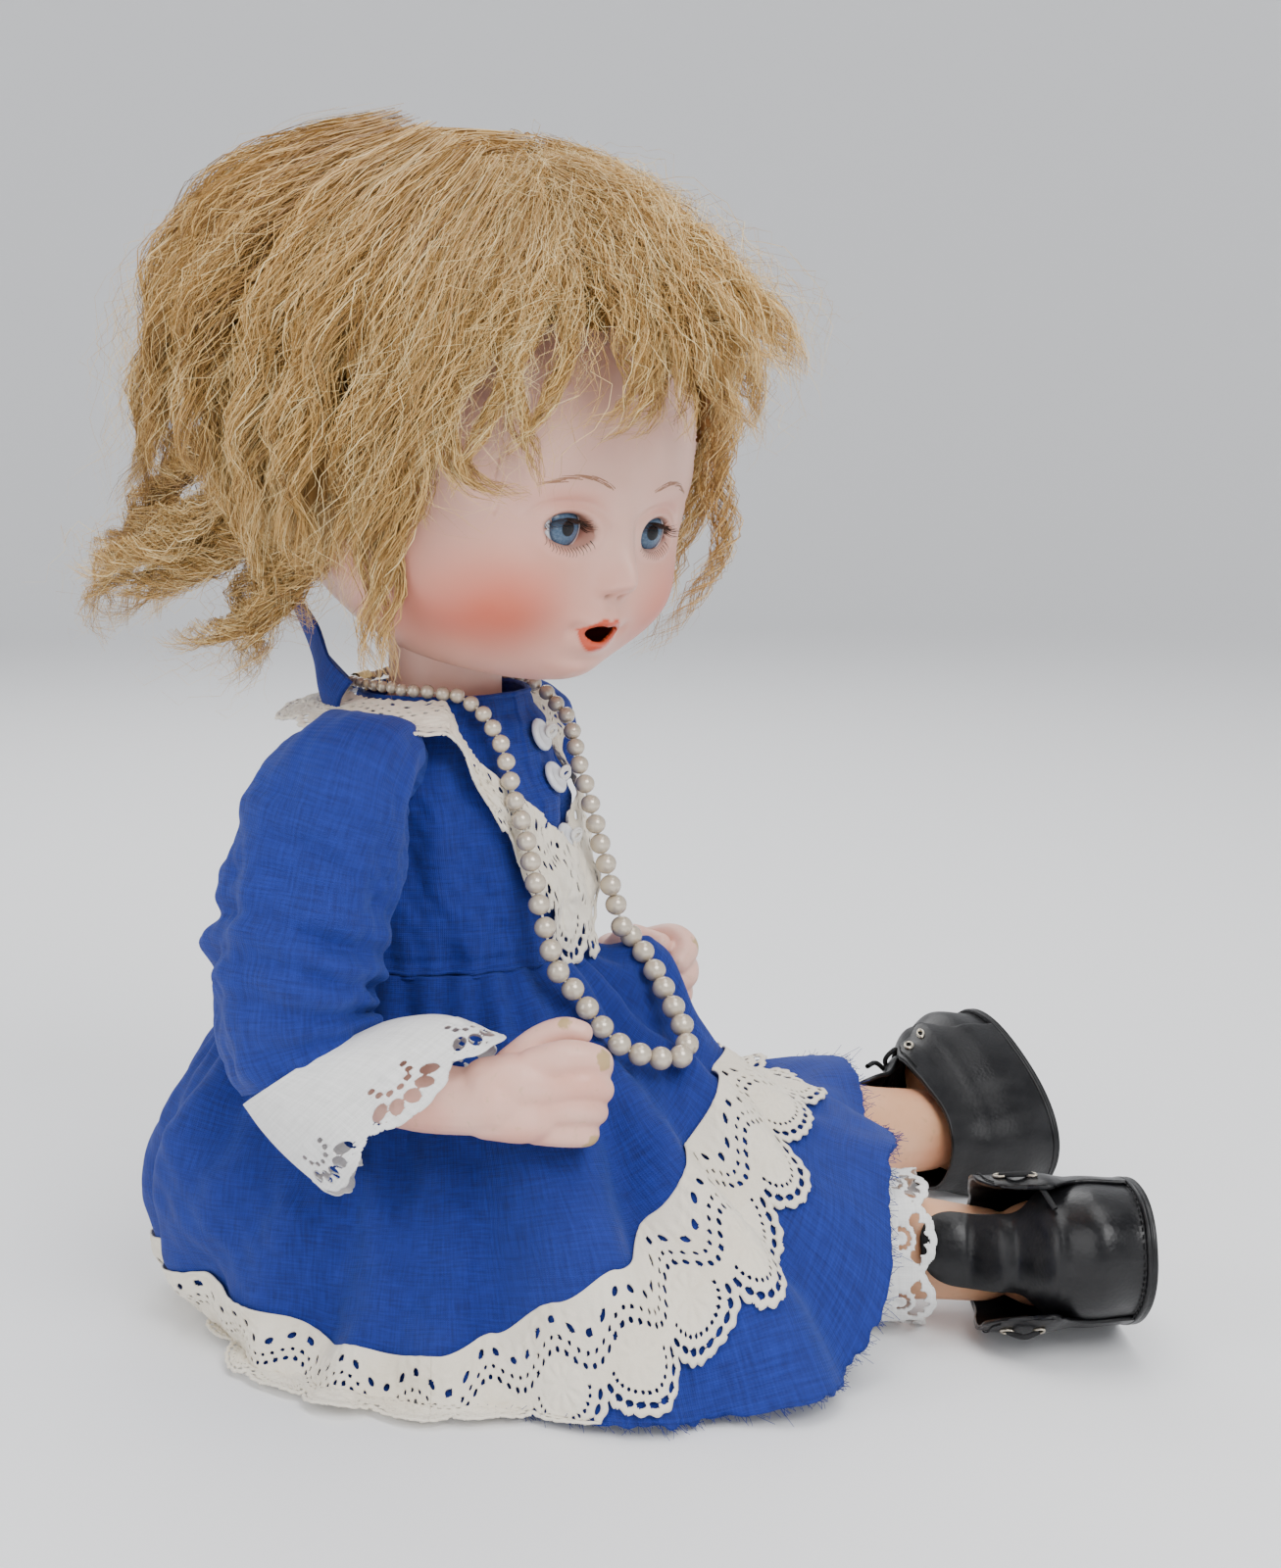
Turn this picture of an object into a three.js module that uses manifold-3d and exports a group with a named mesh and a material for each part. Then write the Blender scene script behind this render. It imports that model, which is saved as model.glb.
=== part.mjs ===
import * as THREE from 'three';
import Module from 'manifold-3d';

const wasm = await Module();
wasm.setup();
const { Manifold } = wasm;

// Driving dimensions, mm. The torso faces -Y, the doll's right is -X, the floor is z = 0.
const NECK = [0, -1, 169];
const NECK_BALL_R = 15;
const HEAD_CENTRE = [0, -9, 231];
const HEAD_YAW = -24;
const HEAD_PITCH = 9;
const HEAD_ROLL = 5;
const SKULL = { x: 53, y: 54, top: 58, bottom: 57, back: -5 };
const SHELL = 3;
const EYE = { x: 15, y: -46.6, z: -13, r: 8.2 };
const SHOULDER = { x: 50, y: 3, z: 149 };
const HIP = { x: 30, y: -4, z: 29 };
const LEG_YAW = { right: 24, left: 46 };
const TOE_LIFT = { right: 20, left: 30 };
const LEG_LENGTH = 147;
const SOLE_AT = { right: 182, left: 171 };
const CLOTH = 1.2;
const GAP = 0.4;
const WIRE_R = 1.2;
const ELASTIC_R = 1.4;
const LEG_CLEAR_R = 25.8;

// Torso sections from the seat to the neck rim: height, half-width, half-depth, centre in y.
const TORSO = [
  [5, 24, 22, 2],
  [12, 34, 29, 1],
  [25, 41, 34, 1],
  [45, 44, 36, 0],
  [80, 37, 34, -2],
  [110, 34, 32, -2],
  [135, 33.5, 29, -1],
  [150, 32, 25, 0],
  [158, 28, 22, -1],
  [163, 22, 20, -1],
];

// Skirt profile by direction round the torso (degrees from the front towards the doll's left):
// hem radius, hem height, and the radius and height that the cloth curves over on its way down.
const SKIRT = [
  [-180, 64, 1.5, 110, 42],
  [-135, 62, 1.5, 96, 46],
  [-88, 74, 1.2, 43, 42],
  [-60, 82, 1.2, 47, 48],
  [-36, 112, 1.2, 70, 56],
  [-18, 128, 4, 74, 70],
  [10, 120, 47, 60, 68],
  [32, 118, 40, 58, 62],
  [55, 130, 49, 43, 53],
  [67, 126, 32, 46, 50],
  [79, 104, 8, 59, 50],
  [97, 78, 1.2, 47, 45],
  [135, 80, 3, 80, 58],
];
const WAIST_Z = 98;
const WAIST = { side: 38, front: 37 };
const SKIRT_FOLDS = 16;

const colours = {
  bisque: [0xf0cdb9, 0.42, 0],
  composition: [0xe3a78c, 0.55, 0],
  glass: [0x8fa3b3, 0.05, 0],
  cotton: [0x1f47b8, 0.9, 0],
  lace: [0xf1ead8, 0.9, 0],
  lawn: [0xf4f2ee, 0.9, 0],
  mohair: [0xc9a468, 0.6, 0],
  net: [0x2b2a2d, 0.9, 0],
  card: [0xb89d76, 0.85, 0],
  pearl: [0xd9cdb6, 0.25, 0],
  steel: [0x8c8f92, 0.4, 1],
  lead: [0x5f6266, 0.6, 1],
  brass: [0xa89468, 0.35, 1],
  leather: [0x161616, 0.35, 0],
  elastic: [0xe8e2d6, 0.85, 0],
  wood: [0xb88a57, 0.7, 0],
  plaster: [0xe9e6df, 0.9, 0],
  tape: [0x1d1f26, 0.95, 0],
};

const group = new THREE.Group();

const rad = (a) => (a * Math.PI) / 180;
const vec = (p) => new THREE.Vector3(p[0], p[1], p[2]);
const mix = (a, b, t) => a + (b - a) * t;
const clamp01 = (t) => Math.min(1, Math.max(0, t));
const smooth = (t) => clamp01(t) * clamp01(t) * (3 - 2 * clamp01(t));
const bell = (a, b) => Math.exp(-a * a - b * b);

// Closed solid from points and triangles, turned so that its faces look outwards.
function solidFrom(points, tris) {
  let volume = 0;
  for (let i = 0; i < tris.length; i += 3) {
    const [a, b, c] = [points[tris[i]], points[tris[i + 1]], points[tris[i + 2]]];
    volume += a.dot(new THREE.Vector3().crossVectors(b, c));
  }
  const order = volume < 0 ? tris.slice().reverse() : tris;
  const vertProperties = new Float32Array(points.flatMap((p) => [p.x, p.y, p.z]));
  return new Manifold(new wasm.Mesh({ numProp: 3, vertProperties, triVerts: new Uint32Array(order) }));
}

// Side walls between successive rings; `closed` joins the last ring back to the first.
function wallTris(count, n, closed) {
  const tris = [];
  const last = closed ? count : count - 1;
  for (let k = 0; k < last; k++) {
    for (let i = 0; i < n; i++) {
      const j = (i + 1) % n;
      const next = ((k + 1) % count) * n;
      tris.push(k * n + i, k * n + j, next + j, k * n + i, next + j, next + i);
    }
  }
  return tris;
}

// Solid through a stack of rings, closed at both ends.
function stack(rings) {
  const n = rings[0].length;
  const points = rings.flat();
  const tris = wallTris(rings.length, n, false);
  const ends = [[rings[0], 0, 1], [rings[rings.length - 1], (rings.length - 1) * n, -1]];
  for (const [ring, first, turn] of ends) {
    const centre = ring.reduce((sum, p) => sum.add(p), new THREE.Vector3()).divideScalar(n);
    const hub = points.push(centre) - 1;
    for (let i = 0; i < n; i++) {
      const j = (i + 1) % n;
      if (turn > 0) tris.push(hub, first + j, first + i);
      else tris.push(hub, first + i, first + j);
    }
  }
  return solidFrom(points, tris);
}

// Open tube with a wall: outer rings from end to end, inner rings back again.
function wall(outer, inner) {
  const rings = [...outer, ...inner.slice().reverse()];
  return solidFrom(rings.flat(), wallTris(rings.length, rings[0].length, true));
}

function ring(centre, ex, ey, rx, ry, n) {
  const points = [];
  for (let i = 0; i < n; i++) {
    const a = (2 * Math.PI * i) / n;
    points.push(vec(centre).addScaledVector(ex, rx * Math.cos(a)).addScaledVector(ey, ry * Math.sin(a)));
  }
  return points;
}

// Points and frames along a smooth path through the stations [x, y, z, radius].
function path(stations, steps, closed = false) {
  const curve = new THREE.CatmullRomCurve3(stations.map(vec), closed, 'centripetal');
  const count = closed ? steps : steps + 1;
  const out = [];
  let side = null;
  for (let i = 0; i < count; i++) {
    const t = i / steps;
    const at = t * (closed ? stations.length : stations.length - 1);
    const k = Math.min(Math.floor(at), stations.length - 1);
    const r0 = stations[k][3];
    const r1 = stations[(k + 1) % stations.length][3];
    const tangent = curve.getTangent(t);
    if (!side) {
      side = Math.abs(tangent.z) < 0.9 ? new THREE.Vector3(0, 0, 1) : new THREE.Vector3(0, 1, 0);
    }
    side = side.clone().addScaledVector(tangent, -side.dot(tangent)).normalize();
    const up = new THREE.Vector3().crossVectors(tangent, side);
    out.push({ p: curve.getPoint(t), tangent, side, up, r: mix(r0, r1, smooth(at - k)) });
  }
  return out;
}

function ringAt(f, r, n, squash = 1) {
  return ring(f.p.toArray(), f.side, f.up, r, r * squash, n);
}

// Round-ended limb of changing thickness.
function limb(stations, steps, n) {
  const frames = path(stations, steps);
  const rings = frames.map((f) => ringAt(f, f.r, n));
  const cap = (f, sign) => [25, 50, 74].map((a) => {
    const p = f.p.clone().addScaledVector(f.tangent, sign * f.r * Math.sin(rad(a)));
    return ringAt({ ...f, p }, f.r * Math.cos(rad(a)), n);
  });
  const last = frames[frames.length - 1];
  return stack([...cap(frames[0], -1).reverse(), ...rings, ...cap(last, 1)]);
}

function wire(points, r, steps, n = 6) {
  return stack(path(points.map((p) => [...p, r]), steps).map((f) => ringAt(f, r, n)));
}

function loop(points, r, steps, n = 6) {
  const frames = path(points.map((p) => [...p, r]), steps, true);
  return solidFrom(frames.flatMap((f) => ringAt(f, r, n)), wallTris(frames.length, n, true));
}

function ball(centre, r, n = 20) {
  const geometry = new THREE.SphereGeometry(r, n, Math.round(n * 0.6));
  return fromGeometry(geometry).translate(centre);
}

function rod(a, b, r, n = 16, r2 = r) {
  const dir = vec(b).sub(vec(a)).normalize();
  const ref = Math.abs(dir.z) < 0.9 ? new THREE.Vector3(0, 0, 1) : new THREE.Vector3(0, 1, 0);
  const ex = new THREE.Vector3().crossVectors(dir, ref).normalize();
  const ey = new THREE.Vector3().crossVectors(dir, ex);
  return stack([ring(a, ex, ey, r, r, n), ring(b, ex, ey, r2, r2, n)]);
}

// Manifold from a three.js geometry, welded by rounded position.
function fromGeometry(geometry) {
  const pos = geometry.attributes.position;
  const index = geometry.index;
  const seen = new Map();
  const points = [];
  const map = [];
  for (let i = 0; i < pos.count; i++) {
    const key = [pos.getX(i), pos.getY(i), pos.getZ(i)].map((v) => Math.round(v * 1e4)).join();
    if (!seen.has(key)) seen.set(key, points.push(new THREE.Vector3().fromBufferAttribute(pos, i)) - 1);
    map.push(seen.get(key));
  }
  const tris = [];
  for (let i = 0; i < index.count; i += 3) {
    const t = [0, 1, 2].map((k) => map[index.getX(i + k)]);
    if (t[0] !== t[1] && t[1] !== t[2] && t[2] !== t[0]) tris.push(...t);
  }
  return solidFrom(points, tris);
}

function block(lo, hi) {
  const size = hi.map((v, i) => v - lo[i]);
  const centre = hi.map((v, i) => (v + lo[i]) / 2);
  const geometry = new THREE.BoxGeometry(...size);
  return fromGeometry(geometry).translate(centre);
}

// Vertices that move the surface by less than this are left out, mm; finer on small pieces.
const DETAIL = { bisque: 0.3, composition: 0.3, mohair: 0.5, cotton: 0.22, net: 0.3, steel: 0.2 };

function add(name, solid, colour) {
  const mesh = solid.asOriginal().simplify(DETAIL[colour] ?? 0.15).getMesh();
  const positions = [];
  for (let i = 0; i < mesh.vertProperties.length; i += mesh.numProp) {
    positions.push(...mesh.vertProperties.subarray(i, i + 3));
  }
  const geometry = new THREE.BufferGeometry();
  geometry.setAttribute('position', new THREE.Float32BufferAttribute(positions, 3));
  geometry.setIndex([...mesh.triVerts]);
  const [color, roughness, metalness] = colours[colour];
  const material = new THREE.MeshStandardMaterial({ color, roughness, metalness });
  const out = new THREE.Mesh(geometry, material);
  out.name = name;
  group.add(out);
}

const sideSign = (side) => (side === 'right' ? -1 : 1);

// ---------------------------------------------------------------- torso and what is worn on it

function torsoSection(z) {
  let k = 0;
  while (k < TORSO.length - 2 && TORSO[k + 1][0] < z) k++;
  const t = smooth((z - TORSO[k][0]) / (TORSO[k + 1][0] - TORSO[k][0]));
  const s = clamp01((z - TORSO[k][0]) / (TORSO[k + 1][0] - TORSO[k][0]));
  const blend = mix(s, t, 0.25);
  return [1, 2, 3].map((i) => mix(TORSO[k][i], TORSO[k + 1][i], blend));
}

// Point on the torso surface grown by `grow`; angle in degrees from the front to the doll's left.
function torsoPoint(angle, z, grow) {
  const [rx, ry, cy] = torsoSection(z);
  return new THREE.Vector3(
    (rx + grow) * Math.sin(rad(angle)),
    cy - (ry + grow) * Math.cos(rad(angle)),
    z,
  );
}

function torsoRing(z, grow, n) {
  return Array.from({ length: n }, (_, i) => torsoPoint((360 * i) / n, z, grow));
}

const TORSO_LEVELS = [5, 12, 25, 45, 80, 110, 135, 150, 158, 163];

function torsoSolid(grow, levels, n = 20) {
  return stack(levels.map((z) => torsoRing(z, grow, n)));
}

const legDir = (side) => {
  const a = rad(LEG_YAW[side]);
  return new THREE.Vector3(Math.sin(a), -Math.cos(a), 0);
};
const hipAxis = (side) => {
  const a = rad(LEG_YAW[side]);
  return new THREE.Vector3(Math.cos(a), Math.sin(a), 0);
};
const hipPoint = (side) => new THREE.Vector3(sideSign(side) * HIP.x, HIP.y, HIP.z);

// Room the whole leg needs while it swings from sitting to standing.
function legSweep(side, grow) {
  const hip = hipPoint(side);
  const far = hip.clone().addScaledVector(legDir(side), 110);
  const low = hip.clone().add(new THREE.Vector3(0, 0, -110));
  const spheres = [hip, far, low].map((p) => ball(p.toArray(), LEG_CLEAR_R + grow, 12));
  return Manifold.hull(spheres);
}

function torsoShell() {
  let outer = torsoSolid(0, TORSO_LEVELS);
  let inner = torsoSolid(-SHELL, [9, 14, 25, 45, 80, 110, 135, 148, 155, 160]);
  for (const side of ['right', 'left']) {
    outer = outer.subtract(legSweep(side, 0));
    inner = inner.subtract(legSweep(side, SHELL));
    const socket = [sideSign(side) * SHOULDER.x, SHOULDER.y, SHOULDER.z];
    outer = outer.subtract(ball(socket, 14.8));
    inner = inner.subtract(ball(socket, 14.8 + SHELL));
  }
  outer = outer.subtract(ball(NECK, NECK_BALL_R + 0.6));
  inner = inner.subtract(ball(NECK, NECK_BALL_R + 0.6 + SHELL));
  let shell = outer.subtract(inner);
  shell = shell.subtract(rod([0, NECK[1], 140], [0, NECK[1], 175], 10, 20));
  for (const side of ['right', 'left']) {
    const s = sideSign(side);
    const inside = [s * 20, SHOULDER.y, SHOULDER.z];
    shell = shell.subtract(rod([s * SHOULDER.x, SHOULDER.y, SHOULDER.z], inside, 7, 16));
    const hip = hipPoint(side);
    const up = vec([0, NECK[1], 140]).sub(hip).normalize();
    const from = hip.clone().addScaledVector(up, 15).toArray();
    shell = shell.subtract(rod(from, hip.clone().addScaledVector(up, 40).toArray(), 7.5, 14));
  }
  const front = shell.intersect(block([-80, -80, 0], [80, -0.2, 200]));
  const back = shell.intersect(block([-80, 0.2, 0], [80, 80, 200]));
  add('torso_front_shell', biggest(front), 'composition');
  add('torso_back_shell', biggest(back), 'composition');
}

// The largest connected piece of a cut solid.
function biggest(solid) {
  return solid.decompose().reduce((a, b) => (b.volume() > a.volume() ? b : a));
}

function armElastic() {
  const x = SHOULDER.x - 26;
  const points = [];
  for (const [s, y] of [[-1, -1], [1, -1], [1, 1], [-1, 1]]) {
    points.push([s * (x - 7) * 0.4, SHOULDER.y + y * 7.6, SHOULDER.z]);
    points.push([s * (x - 4), SHOULDER.y + y * 5.2, SHOULDER.z]);
    if (s * y < 0) points.push([s * x, SHOULDER.y, SHOULDER.z]);
  }
  points.sort((a, b) => Math.atan2(a[1] - SHOULDER.y, a[0]) - Math.atan2(b[1] - SHOULDER.y, b[0]));
  add('arm_elastic', loop(points, ELASTIC_R, 30, 5), 'elastic');
}

// Elastic loop from the pin in a leg's ball to the neck hook.
function legElastic(side) {
  const hip = hipPoint(side);
  const top = new THREE.Vector3(0, NECK[1] + sideSign(side) * 1.7, 134);
  const up = top.clone().sub(hip).normalize();
  const bend = WIRE_R + ELASTIC_R + 1;
  const strand = (t, s) => {
    const across = legDir(side).lerp(new THREE.Vector3(1, 0, 0), t).normalize();
    return hip.clone().lerp(top, t).addScaledVector(across, s * bend).toArray();
  };
  const astride = (s) => [s * 7, top.y, 129];
  const points = [
    hip.clone().addScaledVector(up, -bend).toArray(),
    ...[0.01, 0.3, 0.65].map((t) => strand(t, 1)),
    astride(1),
    top.toArray(),
    astride(-1),
    ...[0.65, 0.3, 0.01].map((t) => strand(t, -1)),
  ];
  add(`leg_elastic_${side}`, loop(points, ELASTIC_R, 32, 5), 'elastic');
}

const SLEEVE_CLEAR_R = 20.6;
const SLEEVE_INSIDE = 33.4;
const SLEEVE_FLATNESS = 0.82;

function cutArmholes(solid) {
  let out = solid;
  for (const s of [-1, 1]) {
    const inner = [s * SLEEVE_INSIDE, SHOULDER.y, SHOULDER.z];
    out = out.subtract(rod(inner, [s * 80, SHOULDER.y, SHOULDER.z], SLEEVE_CLEAR_R, 24));
    out = out.subtract(rod([s * 20, SHOULDER.y, SHOULDER.z], inner, 6, 12));
  }
  return out;
}

function bodice() {
  const levels = [WAIST_Z + 1.5, 110, 135, 150, 158, 164];
  const outer = levels.map((z) => torsoRing(z, 1.6 + CLOTH, 24));
  const inner = levels.map((z) => torsoRing(z, 1.6, 24));
  add('dress_bodice', biggest(cutArmholes(wall(outer, inner))), 'cotton');
}

// Strip of lace round the neck, meeting in a point at the waist.
function laceCollar() {
  const grow = 3.2 + CLOTH + GAP;
  const rings = [];
  const count = 36;
  for (let i = 0; i <= count; i++) {
    const a = mix(-172, 172, i / count);
    const w = clamp01(1 - Math.abs(a) / 66);
    const scallop = 1.2 * Math.cos(a * 0.35);
    const top = mix(162.5, 114, w);
    const low = mix(148, 95, w) + scallop;
    const rungs = [0, 0.5, 1];
    const outside = rungs.map((t) => torsoPoint(a, mix(top, low, t), grow + 0.9));
    const inside = rungs.map((t) => torsoPoint(a, mix(top, low, t), grow)).reverse();
    rings.push([...outside, ...inside]);
  }
  add('lace_collar', biggest(cutArmholes(stack(rings))), 'lace');
}

function buttons() {
  const names = ['button_top', 'button_middle', 'button_bottom'];
  [155, 144, 128].forEach((z, i) => {
    const p = torsoPoint(0, z, 1.8 + CLOTH + 0.6);
    const below = torsoPoint(0, z - 3, 2 + CLOTH + 0.6);
    const up = p.clone().sub(below).normalize();
    const out = new THREE.Vector3(0, -up.z, up.y).normalize();
    const side = new THREE.Vector3(1, 0, 0);
    const rings = [[0, 3.9], [0.5, 4.4], [1.2, 4.4], [1.7, 3.8], [1.5, 2.6]].map(([h, r]) => {
      return ring(p.clone().addScaledVector(out, h + 0.3).toArray(), side, up, r, r, 14);
    });
    add(names[i], stack(rings), 'lawn');
  });
}

function backTape() {
  const rings = [102, 116, 130, 144, 154].map((z) => {
    const grow = 3.2 + CLOTH + GAP;
    const outside = [172, 176, 180, 184, 188].map((a) => torsoPoint(a, z, grow + 0.8));
    const inside = [188, 184, 180, 176, 172].map((a) => torsoPoint(a, z, grow));
    return [...outside, ...inside];
  });
  const neckRoom = 147.5;
  add('back_closure_tape', stack(rings.filter((r) => r[0].z < neckRoom)), 'tape');
}

// Seat of the drawers, cut clear of the swinging legs; its underside is the resting face.
function bloomersSeat() {
  const rings = [[0, 4], [4, 4], [12, 3.2], [25, 3.2], [45, 2.8], [66, 2.4]].map(([z, grow]) => {
    return torsoRing(Math.max(z, 5), grow + (z < 5 ? 6 : 0), 20).map((p) => p.setZ(z));
  });
  let seat = stack(rings).subtract(torsoSolid(0.8, [4, 12, 25, 45, 70]));
  for (const side of ['right', 'left']) seat = seat.subtract(legSweep(side, 0.2));
  add('bloomers_seat', biggest(seat), 'lawn');
}

function skirtStation(angle) {
  const n = SKIRT.length;
  let a = angle;
  while (a < SKIRT[0][0]) a += 360;
  while (a >= SKIRT[0][0] + 360) a -= 360;
  let k = n - 1;
  while (SKIRT[k][0] > a) k--;
  const next = SKIRT[(k + 1) % n];
  const span = (k + 1 === n ? next[0] + 360 : next[0]) - SKIRT[k][0];
  const t = smooth((a - SKIRT[k][0]) / span);
  return [1, 2, 3, 4].map((i) => mix(SKIRT[k][i], next[i], t));
}

// Point on the skirt: angle round the body, s from waist (0) to hem (1), grown outwards.
function skirtPoint(angle, s, grow) {
  const [hemR, hemZ, midR, midZ] = skirtStation(angle);
  const at = (t) => {
    const u = 1 - t;
    const waistR = mix(WAIST.side, WAIST.front, Math.pow(Math.cos(rad(angle)), 2));
    return [
      u * u * waistR + 2 * u * t * midR + t * t * hemR,
      u * u * WAIST_Z + 2 * u * t * midZ + t * t * hemZ,
    ];
  };
  const [r0, z0] = at(Math.max(0, s - 0.02));
  const [r1, z1] = at(Math.min(1, s + 0.02));
  const length = Math.hypot(r1 - r0, z1 - z0);
  const [r, z] = at(s);
  const fold = 1.5 * smooth(s * 1.6) * Math.cos(rad(angle * SKIRT_FOLDS));
  const out = grow + fold;
  const nr = -(z1 - z0) / length;
  const nz = (r1 - r0) / length;
  const rr = r + nr * out;
  return new THREE.Vector3(rr * Math.sin(rad(angle)), -rr * Math.cos(rad(angle)), Math.max(0.1, z + nz * out));
}

function skirtRing(s, grow, n) {
  return Array.from({ length: n }, (_, i) => {
    const a = (360 * i) / n;
    const step = typeof s === 'function' ? s(a) : s;
    return skirtPoint(a, step, grow);
  });
}

function skirt() {
  const levels = [0, 0.14, 0.35, 0.57, 0.78, 1];
  const outer = levels.map((s) => skirtRing(s, 0, 64));
  const inner = levels.map((s) => skirtRing(s, -CLOTH, 64));
  add('dress_skirt', wall(outer, inner), 'cotton');
}

function skirtLace() {
  const scallop = (a) => 0.82 + 0.012 * Math.cos(rad(a * 40));
  const outer = [0.5, 0.57, 0.78, scallop].map((s) => skirtRing(s, GAP + 1.8, 64));
  const inner = [0.5, 0.57, 0.78, scallop].map((s) => skirtRing(s, GAP + 0.9, 64));
  add('skirt_lace_band', wall(outer, inner), 'lace');
}

const BEADS = 58;

// Centre line of the necklace: from the clasp at the nape, over the chest, down to the lap.
function necklaceStations() {
  const chest = (a, z, extra) => torsoPoint(a, z, extra + 1.6).toArray();
  const lap = (a, s, lift) => skirtPoint(a, s, lift).toArray();
  return [
    [-4.2, 22.8, 168],
    [-15, 17, 169],
    [-22.5, 0, 168.5],
    [-21, -16, 166.5],
    chest(-38, 158, 7),
    chest(-34, 145, 7.5),
    chest(-33, 130, 8),
    chest(-33, 115, 9),
    chest(-31, 101, 12),
    lap(-25, 0.14, 8),
    lap(-18, 0.3, 7.2),
    lap(-3, 0.42, 7),
    lap(12, 0.3, 7.2),
    lap(20, 0.14, 8),
    chest(18, 101, 11.5),
    chest(16, 115, 9),
    chest(15, 130, 8),
    chest(18, 145, 7.5),
    chest(30, 158, 7),
    [21, -16, 166.5],
    [22.5, 0, 168.5],
    [15, 17, 169],
    [4.2, 22.8, 168],
  ];
}

function necklace() {
  const stations = necklaceStations();
  const curve = new THREE.CatmullRomCurve3(stations.map(vec), false, 'centripetal');
  curve.arcLengthDivisions = 800;
  const total = curve.getLength();
  const size = (i) => mix(1.75, 3.9, Math.pow(Math.sin((Math.PI * (i + 0.5)) / BEADS), 1.6));
  let sum = 0;
  for (let i = 0; i < BEADS; i++) sum += size(i);
  const fit = total / (2 * sum);
  const rings = [];
  let at = 0;
  let side = new THREE.Vector3(0, 0, 1);
  const push = (d, r) => {
    const u = Math.min(1, Math.max(0, d / total));
    const tangent = curve.getTangentAt(u);
    side = side.clone().addScaledVector(tangent, -side.dot(tangent)).normalize();
    const up = new THREE.Vector3().crossVectors(tangent, side);
    rings.push(ring(curve.getPointAt(u).toArray(), side, up, r, r, 5));
  };
  for (let i = 0; i < BEADS; i++) {
    const half = size(i) * fit;
    const r = Math.min(half, 4);
    push(at + 0.02 * half, 0.35 * r);
    push(at + 0.6 * half, 0.93 * r);
    push(at + 1.4 * half, 0.93 * r);
    at += 2 * half;
  }
  push(total, 0.5);
  add('pearl_necklace', stack(rings), 'pearl');
  add('necklace_clasp', rod([-3.6, 22.9, 168], [3.6, 22.9, 168], 1.7, 10), 'brass');
}

// ---------------------------------------------------------------- head

const headMatrix = new THREE.Matrix4().compose(
  vec(HEAD_CENTRE),
  new THREE.Quaternion().setFromEuler(
    new THREE.Euler(rad(HEAD_PITCH), rad(HEAD_ROLL), rad(HEAD_YAW), 'ZXY'),
  ),
  new THREE.Vector3(1, 1, 1),
);
const toRow = (solid) => solid.transform(headMatrix.elements);

// Surface of the head for a unit direction, in the head's own frame; `grow` moves it outwards.
function skullPoint(d, grow) {
  const front = smooth(-d.y * 1.4);
  const low = smooth(-d.z * 1.6);
  const power = 2 + 1.3 * front * low;
  const q = Math.hypot(d.x, d.y);
  const k = 1 / Math.pow(Math.pow(q, power) + Math.pow(Math.abs(d.z), power), 1 / power);
  const p = new THREE.Vector3(
    SKULL.x * d.x * k,
    SKULL.back + SKULL.y * d.y * k,
    (d.z > 0 ? SKULL.top : SKULL.bottom) * d.z * k,
  );
  p.x *= 1 - 0.1 * low * smooth((-p.z - 30) / 25);
  const n = new THREE.Vector3(p.x / 2809, (p.y - SKULL.back) / 2916, p.z / 3300).normalize();
  return p.addScaledVector(n, grow);
}

// Nose, lips, cheeks, chin and eye hollows as a forward shift of the face.
function faceShift(x, z) {
  const ax = Math.abs(x);
  return 7.2 * bell(x / 4.6, (z + 24.5) / 5)
    + 2.6 * bell(x / 4.4, (z + 16) / 8)
    + 3.6 * bell(x / 9, (z + 36) / 6)
    + 6.2 * bell(x / 13, (z + 50) / 8)
    + 4 * bell((ax - 25) / 13, (z + 29) / 12)
    + 2.6 * bell(x / 30, (z - 14) / 16)
    - 3.4 * bell((ax - 15) / 8, (z + 12) / 6);
}

function skullSolid(grow, n, m, face) {
  const rings = [];
  for (let k = 1; k < m; k++) {
    const lat = Math.PI * (k / m - 0.5);
    const row = [];
    for (let i = 0; i < n; i++) {
      const a = (2 * Math.PI * i) / n;
      const d = new THREE.Vector3(Math.cos(lat) * Math.sin(a), -Math.cos(lat) * Math.cos(a), Math.sin(lat));
      const p = skullPoint(d, grow);
      if (face && p.y < 0) p.y -= faceShift(p.x, p.z) * smooth(-p.y / 30);
      row.push(p);
    }
    rings.push(row);
  }
  return stack(rings);
}

// Almond of room for an opening in the face, running front to back.
function opening(x, z, halfWidth, halfHeight, y0, y1) {
  const ex = new THREE.Vector3(1, 0, 0);
  const ez = new THREE.Vector3(0, 0, 1);
  return stack([
    ring([x, y0, z], ex, ez, halfWidth, halfHeight, 12),
    ring([x, y1, z], ex, ez, halfWidth, halfHeight, 12),
  ]);
}

// Half-space block above a crown plane that falls towards the front and back.
const crownCut = (z) => block([-90, -90, z], [90, 90, 140]).rotate([-8, 0, 0]);

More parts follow.
